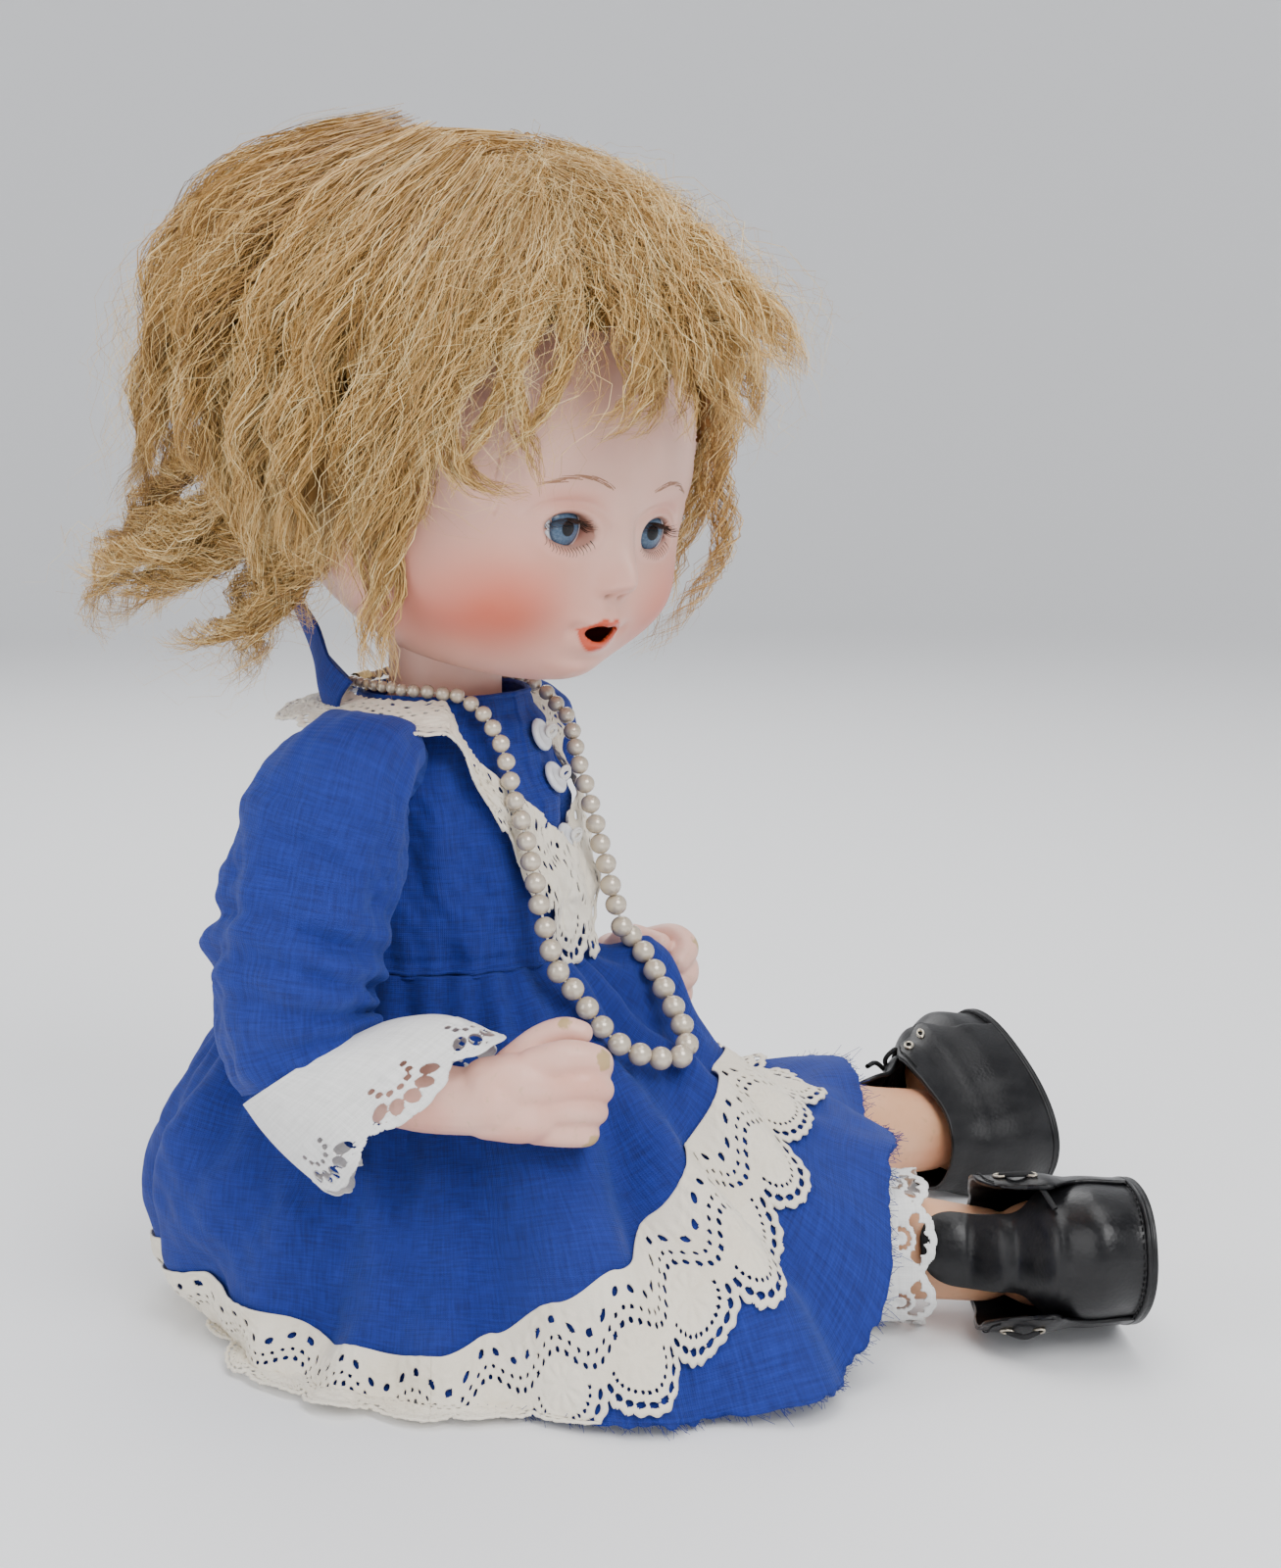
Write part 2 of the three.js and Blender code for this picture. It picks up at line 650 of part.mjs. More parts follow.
function headShell() {
  const outside = toRow(skullSolid(0, 32, 20, true));
  const skull = vec([0, 4, -48]).applyMatrix4(headMatrix).toArray();
  const neckOut = rod(NECK, skull, NECK_BALL_R - 0.6, 16, NECK_BALL_R + 3);
  const neckIn = rod(NECK, skull, NECK_BALL_R - 2.8, 12, NECK_BALL_R);
  const ballOut = ball(NECK, NECK_BALL_R, 16).add(neckOut);
  const ballIn = ball(NECK, NECK_BALL_R - 2.4, 14).add(neckIn);
  const inside = toRow(skullSolid(-SHELL - 0.6, 18, 12, true));
  let shell = outside.add(ballOut).subtract(inside.add(ballIn));
  shell = shell.subtract(rod([NECK[0], NECK[1], NECK[2] - 20], NECK, 5.6, 16));
  const cuts = [crownCut(31)];
  for (const s of [-1, 1]) {
    cuts.push(ball([s * EYE.x, EYE.y, EYE.z], EYE.r + 0.6, 14));
    cuts.push(opening(s * EYE.x, EYE.z, 6.6, 4.2, -80, EYE.y));
  }
  cuts.push(opening(0, -37.5, 5, 2.2, -80, -40));
  for (const cut of cuts) shell = shell.subtract(toRow(cut));
  add('head_shell', biggest(shell), 'bisque');
}

function pateAndCap() {
  const dome = skullSolid(-0.4, 18, 12, false).subtract(skullSolid(-SHELL, 18, 12, false));
  add('pate', biggest(toRow(dome.intersect(crownCut(31.6)))), 'card');
  const cap = skullSolid(2.6, 24, 16, true).subtract(skullSolid(1.8, 24, 16, true));
  const room = block([-90, -100, 12], [90, 120, 140]).rotate([-24, 0, 0]);
  const room2 = block([-90, -24, -14], [90, 120, 140]).rotate([0, 0, 0]);
  const face = block([-90, -100, -120], [90, -30, 40]);
  const part = cap.intersect(room.add(room2)).subtract(face);
  add('wig_cap', biggest(toRow(part)), 'net');
}

// Mohair: a thick cap with locks pulled out of it, all one mass.
function wig() {
  const rings = [];
  const n = 24;
  const m = 14;
  for (let k = 1; k < m; k++) {
    const lat = Math.PI * (k / m - 0.5);
    const row = [];
    for (let i = 0; i < n; i++) {
      const a = (2 * Math.PI * i) / n;
      const d = new THREE.Vector3(Math.cos(lat) * Math.sin(a), -Math.cos(lat) * Math.cos(a), Math.sin(lat));
      const back = smooth(d.y);
      const lump = 1.6 * Math.sin(7 * a + 3 * lat) + 1.2 * Math.cos(11 * a - 5 * lat);
      const thick = 9 + 5 * smooth(d.z) + 13 * back * smooth(1 - Math.abs(d.z)) + lump;
      row.push(skullPoint(d, thick));
    }
    rings.push(row);
  }
  let hair = stack(rings).subtract(skullSolid(3.6, 24, 16, true));
  const face = Manifold.hull([
    ball([-30, -40, -14], 12, 12), ball([30, -40, -14], 12, 12),
    ball([-27, -90, -14], 12, 12), ball([27, -90, -14], 12, 12),
    ball([-27, -40, -70], 16, 12), ball([27, -40, -70], 16, 12),
    ball([-30, -90, -70], 12, 12), ball([30, -90, -70], 12, 12),
    ball([-16, -60, 14], 12, 12), ball([16, -60, 14], 12, 12),
  ]);
  hair = hair.subtract(face);
  hair = hair.subtract(block([-90, -100, -80], [90, 120, -36]));
  const locks = [
    [[-22, -50, 38, 13], [-26, -72, 34, 9], [-30, -90, 22, 5], [-33, -98, 15, 2]],
    [[6, -52, 38, 13], [4, -74, 34, 9], [0, -90, 24, 5], [-4, -98, 18, 2]],
    [[30, -44, 34, 12], [38, -66, 28, 8], [44, -80, 16, 4], [46, -84, 8, 2]],
    [[-20, 20, 62, 14], [0, 10, 68, 11], [14, 8, 70, 5]],
    [[-50, -12, -4, 10], [-54, -14, -26, 8], [-54, -12, -44, 5], [-52, -8, -54, 2.4]],
    [[50, -20, 0, 10], [56, -26, -20, 6], [56, -34, -38, 3]],
    [[-20, 58, 0, 14], [-28, 78, -16, 11], [-36, 94, -32, 7], [-42, 104, -40, 3]],
    [[10, 62, -4, 14], [4, 78, -24, 9], [-6, 86, -40, 4]],
    [[-44, 34, -14, 13], [-50, 46, -32, 9], [-50, 54, -46, 4]],
  ];
  for (const lock of locks) hair = hair.add(limb(lock, 4, 6));
  hair = hair.subtract(skullSolid(3.6, 24, 16, true));
  const neckRoom = rod([0, 8, -110], [0, 4, -30], 26, 20);
  add('wig_hair', biggest(toRow(hair.subtract(neckRoom))), 'mohair');
}

function eyes() {
  for (const [name, s] of [['eyeball_right', -1], ['eyeball_left', 1]]) {
    add(name, toRow(ball([s * EYE.x, EYE.y, EYE.z], EYE.r, 14)), 'glass');
  }
  const back = EYE.y + EYE.r + 1.9;
  const bar = wire([[-EYE.x, back, EYE.z], [0, back, EYE.z], [EYE.x, back, EYE.z]], 1.4, 4);
  const arm = wire([[0, back, EYE.z], [0, back + 3, EYE.z - 8], [0, back + 4, EYE.z - 15]], 1.2, 4);
  add('eye_rocker', toRow(bar.add(arm)), 'steel');
  add('eye_weight', toRow(ball([0, back + 4.6, EYE.z - 21.6], 6, 14)), 'lead');
}

function faceBacking() {
  const rings = [-44.5, -46].map((y) => {
    return ring([0, y, -37.5], new THREE.Vector3(1, 0, 0), new THREE.Vector3(0, 0, 1), 6, 3.2, 14);
  });
  add('mouth_backing', toRow(stack(rings)), 'tape');
  for (const [name, s] of [['eye_plaster_right', -1], ['eye_plaster_left', 1]]) {
    const cup = rod([s * (EYE.x + 9.6), EYE.y + 10, EYE.z], [s * (EYE.x + 15), EYE.y + 10, EYE.z], 3.4, 12);
    add(name, toRow(cup), 'plaster');
  }
}

function neckFittings() {
  const r = NECK_BALL_R - 3.3;
  const rings = [];
  for (let k = 0; k <= 5; k++) {
    const a = rad(mix(-62, -5, k / 5));
    const centre = [NECK[0], NECK[1], NECK[2] + r * Math.sin(a)];
    rings.push(ring(centre, new THREE.Vector3(1, 0, 0), new THREE.Vector3(0, 1, 0), r * Math.cos(a), r * Math.cos(a), 20));
  }
  const bore = rod([NECK[0], NECK[1], 140], [NECK[0], NECK[1], 180], WIRE_R + 0.3, 12);
  add('neck_button', stack(rings).subtract(bore), 'wood');
  const y = NECK[1];
  const hook = [
    [0, y + 5.4, 172.2], [0, y + 2.5, 172.6], [0, y, 170], [0, y, 158], [0, y, 147],
    [0, y - 4.5, 143], [0, y - 7.4, 138], [0, y - 6, 132.4], [0, y, 129.4],
    [0, y + 6, 132.4], [0, y + 7.4, 138], [0, y + 7.2, 142],
  ];
  add('neck_hook', wire(hook, WIRE_R, 26), 'steel');
}

// ---------------------------------------------------------------- arms

// The left arm's upper part leans back from the shoulder, and its forearm is carried back level.
const LEFT_ARM_LEAN = -12;
const LEFT_FOREARM_SHIFT = [12.1, 4.2];

// Stations are written for the right arm; the left arm mirrors them.
function armPoint(side, p) {
  if (side === 'right') return p;
  const y = p[1] - SHOULDER.y;
  const z = p[2] - SHOULDER.z;
  const [c, s] = [Math.cos(rad(LEFT_ARM_LEAN)), Math.sin(rad(LEFT_ARM_LEAN))];
  const upper = [SHOULDER.y + y * c + z * s, SHOULDER.z - y * s + z * c];
  const lower = [p[1] + LEFT_FOREARM_SHIFT[0], p[2] + LEFT_FOREARM_SHIFT[1]];
  const w = smooth((100 - p[2]) / 14);
  return [-p[0], mix(upper[0], lower[0], w), mix(upper[1], lower[1], w), p[3]];
}

function armSolid(side) {
  const at = (list) => list.map((p) => armPoint(side, p));
  let arm = limb(at([
    [-50, 3, 149, 13.6], [-56, 6, 128, 12], [-62, 10, 106, 11], [-64.5, 9, 90, 10.4],
    [-64, -8, 79, 9], [-63, -28, 75, 7.8], [-60, -36, 74.5, 7.6],
  ]), 10, 12);
  const palm = limb(at([[-59, -38, 75, 8.4], [-56, -46, 77, 9], [-53, -52, 79, 7]]), 2, 10);
  arm = arm.add(palm);
  const fingers = [
    [[-57, -50, 84, 3.6], [-53, -58, 87, 3.2], [-49, -61, 83, 2.8]],
    [[-56, -53, 78, 3.7], [-52, -61, 80, 3.3], [-48, -62, 76, 2.8]],
    [[-55, -53, 73, 3.5], [-51, -60, 74, 3.1], [-47, -60, 70.5, 2.7]],
    [[-54, -51, 68.5, 3.2], [-50, -57, 68, 2.8], [-46, -56, 66, 2.4]],
    [[-51, -42, 82, 3.8], [-46, -47, 87, 3.3], [-45, -53, 89, 2.7]],
  ];
  for (const finger of fingers) arm = arm.add(limb(at(finger), 2, 6));
  return biggest(arm);
}

function armHook(side) {
  const s = sideSign(side);
  const at = (a, b) => {
    const turn = rad(45);
    return [s * (SHOULDER.x - a), SHOULDER.y + b * Math.cos(turn), SHOULDER.z - b * Math.sin(turn)];
  };
  const c = 26;
  const points = [
    [5, 0], [15, 0], [19, -1.5], [21.5, -4.1], [c, -4.1], [c + 3.2, -2.6], [c + 4.1, 0],
    [c + 3.2, 2.6], [c, 4.1], [c - 2, 4.1],
  ].map(([a, b]) => at(a, b));
  return wire(points, WIRE_R, 22);
}

const SLEEVE = [
  [-51, 3, 149, 19.8], [-57, 6, 132, 19.6], [-61, 11, 114, 18.5], [-64, 14, 98, 17],
  [-64.5, 10, 86, 16], [-64.5, 2, 81, 15],
];

// The left sleeve is fuller at its sharper elbow.
const LEFT_ELBOW_EASE = 4.9;

function sleeve(side) {
  const ease = (z) => (side === 'left' && z > 78 && z < 124 ? LEFT_ELBOW_EASE : 0);
  const frames = path(SLEEVE.map(([x, y, z, r]) => armPoint(side, [x, y, z, r + ease(z)])), 6);
  const outer = frames.map((f) => ringAt(f, f.r, 14, SLEEVE_FLATNESS));
  const inner = frames.map((f) => ringAt(f, f.r - CLOTH, 14, SLEEVE_FLATNESS));
  const first = frames[0];
  const cap = (r) => [30, 52, 74].map((a) => {
    const p = first.p.clone().addScaledVector(first.tangent, -r * Math.sin(rad(a)));
    return ringAt({ ...first, p }, r * Math.cos(rad(a)), 14, SLEEVE_FLATNESS);
  }).reverse();
  const whole = stack([...cap(first.r), ...outer]);
  const last = frames[frames.length - 1];
  const past = { ...last, p: last.p.clone().addScaledVector(last.tangent, 3) };
  const room = stack([...cap(first.r - CLOTH), ...inner, ringAt(past, last.r - CLOTH, 14, SLEEVE_FLATNESS)]);
  const s = sideSign(side);
  const inward = block(s < 0 ? [-39.5, -60, 60] : [-10, -60, 60], s < 0 ? [10, 60, 200] : [39.5, 60, 200]);
  add(`sleeve_${side}`, biggest(whole.subtract(room).subtract(inward)), 'cotton');
}

const CUFF_FLATNESS = 0.76;

function cuff(side) {
  const stations = [[-64.5, -1, 79.8, 15.8], [-64.5, -10, 76, 17], [-64, -22, 71.5, 18]];
  const frames = path(stations.map((p) => armPoint(side, p)), 2);
  const rings = (grow) => frames.map((f, k) => {
    const scallop = k === frames.length - 1 ? 1.4 : 0;
    return ringAt(f, 1, 16).map((p, i) => {
      const away = p.clone().sub(f.p);
      const x = away.x * (f.r * CUFF_FLATNESS + grow);
      const rest = away.setX(0).multiplyScalar(f.r + grow);
      return f.p.clone().add(rest).add(new THREE.Vector3(x, 0, 0))
        .addScaledVector(f.tangent, scallop * Math.cos((Math.PI * i) / 2));
    });
  });
  add(`cuff_lace_${side}`, wall(rings(0), rings(-0.9)), 'lawn');
}

function arms(side) {
  const arm = armSolid(side);
  const s = sideSign(side);
  const bore = rod([s * (SHOULDER.x - 4), SHOULDER.y, SHOULDER.z], [s * 20, SHOULDER.y, SHOULDER.z], WIRE_R + 0.4, 10);
  add(`arm_${side}`, arm.subtract(bore), 'composition');
  add(`arm_hook_${side}`, armHook(side), 'steel');
  sleeve(side);
  cuff(side);
}

// ---------------------------------------------------------------- legs

const FOOTPRINT = [
  [0, -20, 41, 17],
  [10, -21, 42.5, 17.6],
  [20, -20, 38, 16.8],
  [30, -18, 27, 15.6],
  [41, -16, 18, 15],
];

// Leg frame: t along the leg from the hip, toe towards the toes, side across the foot.
function legFrame(side) {
  const s = sideSign(side);
  const d = legDir(side);
  const lift = rad(TOE_LIFT[side]);
  const toe = hipAxis(side).multiplyScalar(s * Math.cos(lift)).add(new THREE.Vector3(0, 0, Math.sin(lift)));
  const across = new THREE.Vector3().crossVectors(toe, d);
  const sole = SOLE_AT[side];
  const drop = (t) => -9.5 * clamp01(t / LEG_LENGTH) - 1.4 * smooth((t - 132) / 20);
  const at = (t, f, w) => hipPoint(side).addScaledVector(d, t).addScaledVector(toe, f)
    .addScaledVector(across, w).add(new THREE.Vector3(0, 0, drop(t)));
  return { d, toe, across, at, sole };
}

// How far forward the shoe reaches at height h above the sole, w to the side of its middle.
function footEdge(h, w) {
  let k = 0;
  while (k < FOOTPRINT.length - 2 && FOOTPRINT[k + 1][0] < h) k++;
  const t = (h - FOOTPRINT[k][0]) / (FOOTPRINT[k + 1][0] - FOOTPRINT[k][0]);
  const [heel, tip, half] = [1, 2, 3].map((i) => mix(FOOTPRINT[k][i], FOOTPRINT[k + 1][i], t));
  const sine = Math.pow(Math.abs(w) / half, 1 / 0.85);
  return (heel + tip) / 2 + Math.pow(1 - sine * sine, 0.425) * ((tip - heel) / 2);
}

// Foot-shaped ring at height h above the sole, shrunk by `inset`.
function footRing(frame, h, inset, n = 16) {
  let k = 0;
  while (k < FOOTPRINT.length - 2 && FOOTPRINT[k + 1][0] < h) k++;
  const t = (h - FOOTPRINT[k][0]) / (FOOTPRINT[k + 1][0] - FOOTPRINT[k][0]);
  const [heel, tip, half] = [1, 2, 3].map((i) => mix(FOOTPRINT[k][i], FOOTPRINT[k + 1][i], t));
  const mid = (heel + tip) / 2;
  return Array.from({ length: n }, (_, i) => {
    const a = (2 * Math.PI * i) / n;
    const c = Math.sign(Math.cos(a)) * Math.pow(Math.abs(Math.cos(a)), 0.85);
    const w = Math.sign(Math.sin(a)) * Math.pow(Math.abs(Math.sin(a)), 0.85);
    return frame.at(frame.sole - h, mid + c * ((tip - heel) / 2 - inset), w * (half - inset));
  });
}

function leg(side) {
  const frame = legFrame(side);
  const stations = [
    [0, 17.6], [16, 18.5], [36, 20], [70, 17.5], [86, 17], [108, 17.2], [130, 14], [148, 12.4],
  ].map(([t, r]) => [...frame.at((t * frame.sole) / 184, 0, 0).toArray(), r]);
  const foot = stack([
    ...[2.4, 10, 20, 30, 40].map((h) => footRing(frame, h, h > 25 ? 3.9 : 3.5, 14)),
  ]);
  let solid = limb(stations, 9, 14).add(foot);
  const hip = hipPoint(side);
  const up = vec([0, NECK[1], 140]).sub(hip).normalize();
  for (let k = 0; k <= 4; k++) {
    const dir = up.clone().applyAxisAngle(hipAxis(side), rad(-22.5 * k));
    const end = hip.clone().addScaledVector(dir, 30);
    solid = solid.subtract(rod(hip.toArray(), end.toArray(), 6, 8, 8).add(ball(hip.toArray(), 5.6, 10)));
  }
  add(`leg_${side}`, biggest(solid), 'composition');
  const ends = [-1, 1].map((s) => hip.clone().addScaledVector(hipAxis(side), s * 4.9).toArray());
  add(`leg_pin_${side}`, rod(ends[0], ends[1], WIRE_R, 10), 'steel');
}

// Open leg of the drawers and its eyelet edging.
function bloomerLeg(side) {
  const frame = legFrame(side);
  const tube = (list, n) => list.map(([t, r]) => {
    const p = frame.at((t * frame.sole) / 184, 0, 0);
    const across = hipAxis(side);
    return ring(p.toArray(), across, new THREE.Vector3(0, 0, 1), r, r * 0.97, n);
  });
  const outer = [[9, 23.2], [30, 23.8], [60, 22.4], [90, 20.6], [116, 19.4]];
  const inner = outer.map(([t, r]) => [t, r - CLOTH]);
  add(`bloomer_leg_${side}`, wall(tube(outer, 16), tube(inner, 16)), 'lawn');
  const edge = [[116.5, 19.6], [126, 19.8], [137, 18.9]];
  const edgeIn = edge.map(([t, r]) => [t, r - 0.9]);
  add(`bloomer_lace_${side}`, wall(tube(edge, 16), tube(edgeIn, 16)), 'lawn');
}

function shoe(side) {
  const frame = legFrame(side);
  const whole = stack([0, 4, 10, 20, 30, 41].map((h) => footRing(frame, h, 0)));
  const hollow = stack([1.4, 4, 10, 20, 30, 43].map((h) => footRing(frame, Math.min(h, 41), 1.5).map((p) => {
    return h > 41 ? p.addScaledVector(frame.d, -2) : p;
  })));
  const eyelets = [];
  for (const w of [-1, 1]) {
    for (const h of [26, 33]) eyelets.push([w, h]);
  }
  let upper = whole.subtract(hollow);
  const out = frame.toe.clone().multiplyScalar(0.72).addScaledVector(frame.d, -0.69);
  const seat = ([w, h]) => frame.at(frame.sole - h, footEdge(h, w * 5), w * 5);
  eyelets.forEach((e) => {
    const a = seat(e).addScaledVector(out, -4);
    const far = a.clone().addScaledVector(out, 12);
    upper = upper.subtract(rod(a.toArray(), far.toArray(), 1.5, 8));
  });
  add(`shoe_upper_${side}`, biggest(upper), 'leather');
  const names = ['low_inner', 'high_inner', 'low_outer', 'high_outer'];
  eyelets.forEach(([w, h], i) => {
    const p = seat([w, h]);
    const ex = frame.across.clone();
    const ey = new THREE.Vector3().crossVectors(out, ex).normalize();
    const at = (shift, r) => ring(p.clone().addScaledVector(out, shift + 0.9).toArray(), ex, ey, r, r, 8);
    add(`shoe_eyelet_${names[i]}_${side}`, wall([at(0, 2), at(0.7, 2)], [at(0, 1), at(0.7, 1)]), 'brass');
  });
  const sole = stack([-3, -0.4].map((h) => footRing(frame, 0, -0.9).map((p) => p.addScaledVector(frame.d, -h))));
  add(`shoe_sole_${side}`, sole, 'leather');
  const bow = [
    [0, 2], [4, 4], [8, 8], [4, 9.5], [0, 3], [-4, 9.5], [-8, 8], [-4, 4],
  ].map(([w, rise]) => seat([0, 38]).addScaledVector(frame.across, w).addScaledVector(out, rise).toArray());
  add(`shoe_lace_${side}`, loop(bow, 0.9, 24, 5), 'leather');
}

torsoShell();
armElastic();
legElastic('right');
legElastic('left');
bodice();
skirt();
laceCollar();
skirtLace();
buttons();
backTape();
bloomersSeat();
necklace();
neckFittings();
headShell();
pateAndCap();
wig();
eyes();
faceBacking();
for (const side of ['right', 'left']) {
  arms(side);
  leg(side);
  bloomerLeg(side);
  shoe(side);
}

export default group;
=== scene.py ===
"""Looks of the seated porcelain doll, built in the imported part's own frame."""

import math

import bpy
import numpy as np
from mathutils import Matrix, Vector


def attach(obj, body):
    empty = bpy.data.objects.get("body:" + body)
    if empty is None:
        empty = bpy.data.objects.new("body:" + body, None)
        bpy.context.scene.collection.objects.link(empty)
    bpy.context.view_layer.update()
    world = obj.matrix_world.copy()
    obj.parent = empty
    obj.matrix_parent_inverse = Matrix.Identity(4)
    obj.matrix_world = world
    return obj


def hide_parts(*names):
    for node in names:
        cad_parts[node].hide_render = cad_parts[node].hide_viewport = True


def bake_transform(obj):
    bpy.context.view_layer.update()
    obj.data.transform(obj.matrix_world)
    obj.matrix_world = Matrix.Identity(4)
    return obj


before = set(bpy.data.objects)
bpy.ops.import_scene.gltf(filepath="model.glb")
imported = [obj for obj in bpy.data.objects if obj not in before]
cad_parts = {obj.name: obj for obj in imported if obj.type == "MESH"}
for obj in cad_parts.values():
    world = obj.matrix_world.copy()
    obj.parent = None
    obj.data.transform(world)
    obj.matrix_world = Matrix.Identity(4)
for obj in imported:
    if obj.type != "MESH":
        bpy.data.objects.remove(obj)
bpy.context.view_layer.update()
MM = 0.001


# ---------------------------------------------------------------- numbers
def smooth(t):
    t = np.clip(t, 0, 1)
    return t * t * (3 - 2 * t)


def bell(*parts):
    return np.exp(-sum(p * p for p in parts))


def mix(a, b, t):
    return a + (b - a) * t


def unit(v):
    return v / np.maximum(np.linalg.norm(v, axis=-1, keepdims=True), 1e-9)


def turn(axis, degrees):
    return np.array(Matrix.Rotation(math.radians(degrees), 3, axis))


def waves(p, size, seed, count=12):
    """Smooth random field over the points p, unit variance, with lumps of about size mm."""
    r = np.random.default_rng(seed)
    k = unit(r.normal(size=(count, p.shape[-1]))) * r.uniform(0.6, 1.5, (count, 1)) * (2 * math.pi / size)
    return np.cos(p @ k.T + r.uniform(0, 2 * math.pi, count)).sum(-1) / math.sqrt(count / 2)


def curve(points, count):
    """Smooth curve through the points, read at count evenly spaced places."""
    p = np.asarray(points, float)
    q = np.vstack([2 * p[0] - p[1], p, 2 * p[-1] - p[-2]])
    fine = []
    for i in range(len(p) - 1):
        a, b, c, d = q[i:i + 4]
        t = np.linspace(0, 1, 16, endpoint=i == len(p) - 2)[:, None]
        fine.append(0.5 * (2 * b + (c - a) * t + (2 * a - 5 * b + 4 * c - d) * t ** 2
                           + (3 * b - a - 3 * c + d) * t ** 3))
    fine = np.vstack(fine)
    step = np.r_[0, np.cumsum(np.linalg.norm(np.diff(fine[:, :3], axis=0), axis=1))]
    want = np.linspace(0, step[-1], count)
    return np.stack([np.interp(want, step, fine[:, k]) for k in range(p.shape[1])], 1)


def table(rows, x):
    """Rows of (x, values...) read at x, with smooth steps between the rows."""
    rows = np.asarray(rows, float)
    k = np.clip(np.searchsorted(rows[:, 0], x, side="right") - 1, 0, len(rows) - 2)
    t = smooth((x - rows[k, 0]) / (rows[k + 1, 0] - rows[k, 0]))
    t = t[..., None]
    return rows[k, 1:] * (1 - t) + rows[k + 1, 1:] * t


# ---------------------------------------------------------------- meshes
def grid_faces(nu, nv, wrap_u=False, wrap_v=False):
    i, j = np.meshgrid(np.arange(nu if wrap_u else nu - 1), np.arange(nv if wrap_v else nv - 1),
        indexing="ij")
    i2, j2 = (i + 1) % nu, (j + 1) % nv
    return np.stack([i * nv + j, i2 * nv + j, i2 * nv + j2, i * nv + j2], -1).reshape(-1, 4)


def build(name, points, faces, paint, uv=None, values=None):
    """A mesh object from points in mm, faces of one size, a UV in mm and named point values."""
    points = np.asarray(points, float).reshape(-1, 3)
    faces = np.asarray(faces)
    used = np.zeros(len(points), bool)
    used[faces.ravel()] = True
    remap = np.cumsum(used) - 1
    faces = remap[faces]
    me = bpy.data.meshes.new(name)
    me.vertices.add(int(used.sum()))
    me.vertices.foreach_set("co", (points[used] * MM).ravel())
    me.loops.add(faces.size)
    me.loops.foreach_set("vertex_index", faces.ravel().astype(np.int32))
    me.polygons.add(len(faces))
    me.polygons.foreach_set("loop_start", np.arange(0, faces.size, faces.shape[1], dtype=np.int32))
    me.update(calc_edges=True)
    me.polygons.foreach_set("use_smooth", np.ones(len(faces), bool))
    if uv is not None:
        layer = me.uv_layers.new(name="Cloth")
        layer.data.foreach_set("uv", np.asarray(uv, float).reshape(-1, 2)[used][faces.ravel()].ravel())
    for key, value in (values or {}).items():
        attribute = me.attributes.new(key, "FLOAT", "POINT")
        attribute.data.foreach_set("value", np.asarray(value, np.float32).ravel()[used])
    ob = bpy.data.objects.new(name, me)
    bpy.context.scene.collection.objects.link(ob)
    me.materials.append(paint)
    return ob


def apply_modifiers(ob):
    """Bakes the object's modifiers into its mesh."""
    depsgraph = bpy.context.evaluated_depsgraph_get()
    made = bpy.data.meshes.new_from_object(ob.evaluated_get(depsgraph))
    made.name = ob.data.name
    ob.modifiers.clear()
    ob.data = made
    return ob


def thicken(ob, mm, offset=0.0):
    solid = ob.modifiers.new("thick", "SOLIDIFY")
    solid.thickness = mm * MM
    solid.offset = offset
    return apply_modifiers(ob)


def place(ob, body, slot, *nodes):
    """The piece rides on the body and stands for the CAD nodes, which it hides; the slot is not used."""
    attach(ob, body)
    if nodes:
        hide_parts(*nodes)
    return ob


def frames(points):
    """Tangent and two steady normals along a polyline."""
    t = unit(np.gradient(points, axis=0))
    a = np.zeros_like(t)
    ref = np.array([0.0, 0.0, 1.0]) if abs(t[0, 2]) < 0.8 else np.array([1.0, 0.0, 0.0])
    for i in range(len(t)):
        ref = ref - t[i] * (ref @ t[i])
        ref = ref / max(np.linalg.norm(ref), 1e-9)
        a[i] = ref
    return t, a, np.cross(t, a)


def around(count):
    """Evenly spaced angles round a ring, in radians."""
    return np.linspace(0, 2 * math.pi, count, endpoint=False)


def tube(points, radii, sides=10):
    """Points and faces of an open tube round a line."""
    _, a, b = frames(points)
    ang = around(sides)
    radii = np.broadcast_to(np.asarray(radii, float), len(points))[:, None, None]
    ring = np.cos(ang)[:, None] * a[:, None] + np.sin(ang)[:, None] * b[:, None]
    return (points[:, None] + radii * ring).reshape(-1, 3), grid_faces(len(points), sides, wrap_v=True)


def merge(parts):
    """Joins (points, faces) pairs into one."""
    points, faces, base = [], [], 0
    for p, f in parts:
        points.append(p)
        faces.append(f + base)
        base += len(p)
    return np.vstack(points), np.vstack(faces)


def sphere(centre, radius, sides=14, squash=(1, 1, 1)):
    """Points and faces of a ball, squashed along its axes."""
    down = np.linspace(0.001, math.pi - 0.001, sides // 2 + 2)
    u, v = np.meshgrid(around(sides), down, indexing="ij")
    p = np.stack([np.sin(v) * np.cos(u), np.sin(v) * np.sin(u), np.cos(v)], -1) * squash
    return (np.asarray(centre) + radius * p).reshape(-1, 3), grid_faces(*u.shape, wrap_u=True)[:, ::-1]


def grid_normals(p, wrap=False):
    """Outward normals of a grid whose u runs anticlockwise seen from above and whose v runs down."""
    if wrap:
        du = np.roll(p, -1, 0) - np.roll(p, 1, 0)
    else:
        du = np.gradient(p, axis=0)
    return unit(np.cross(np.gradient(p, axis=1), du))


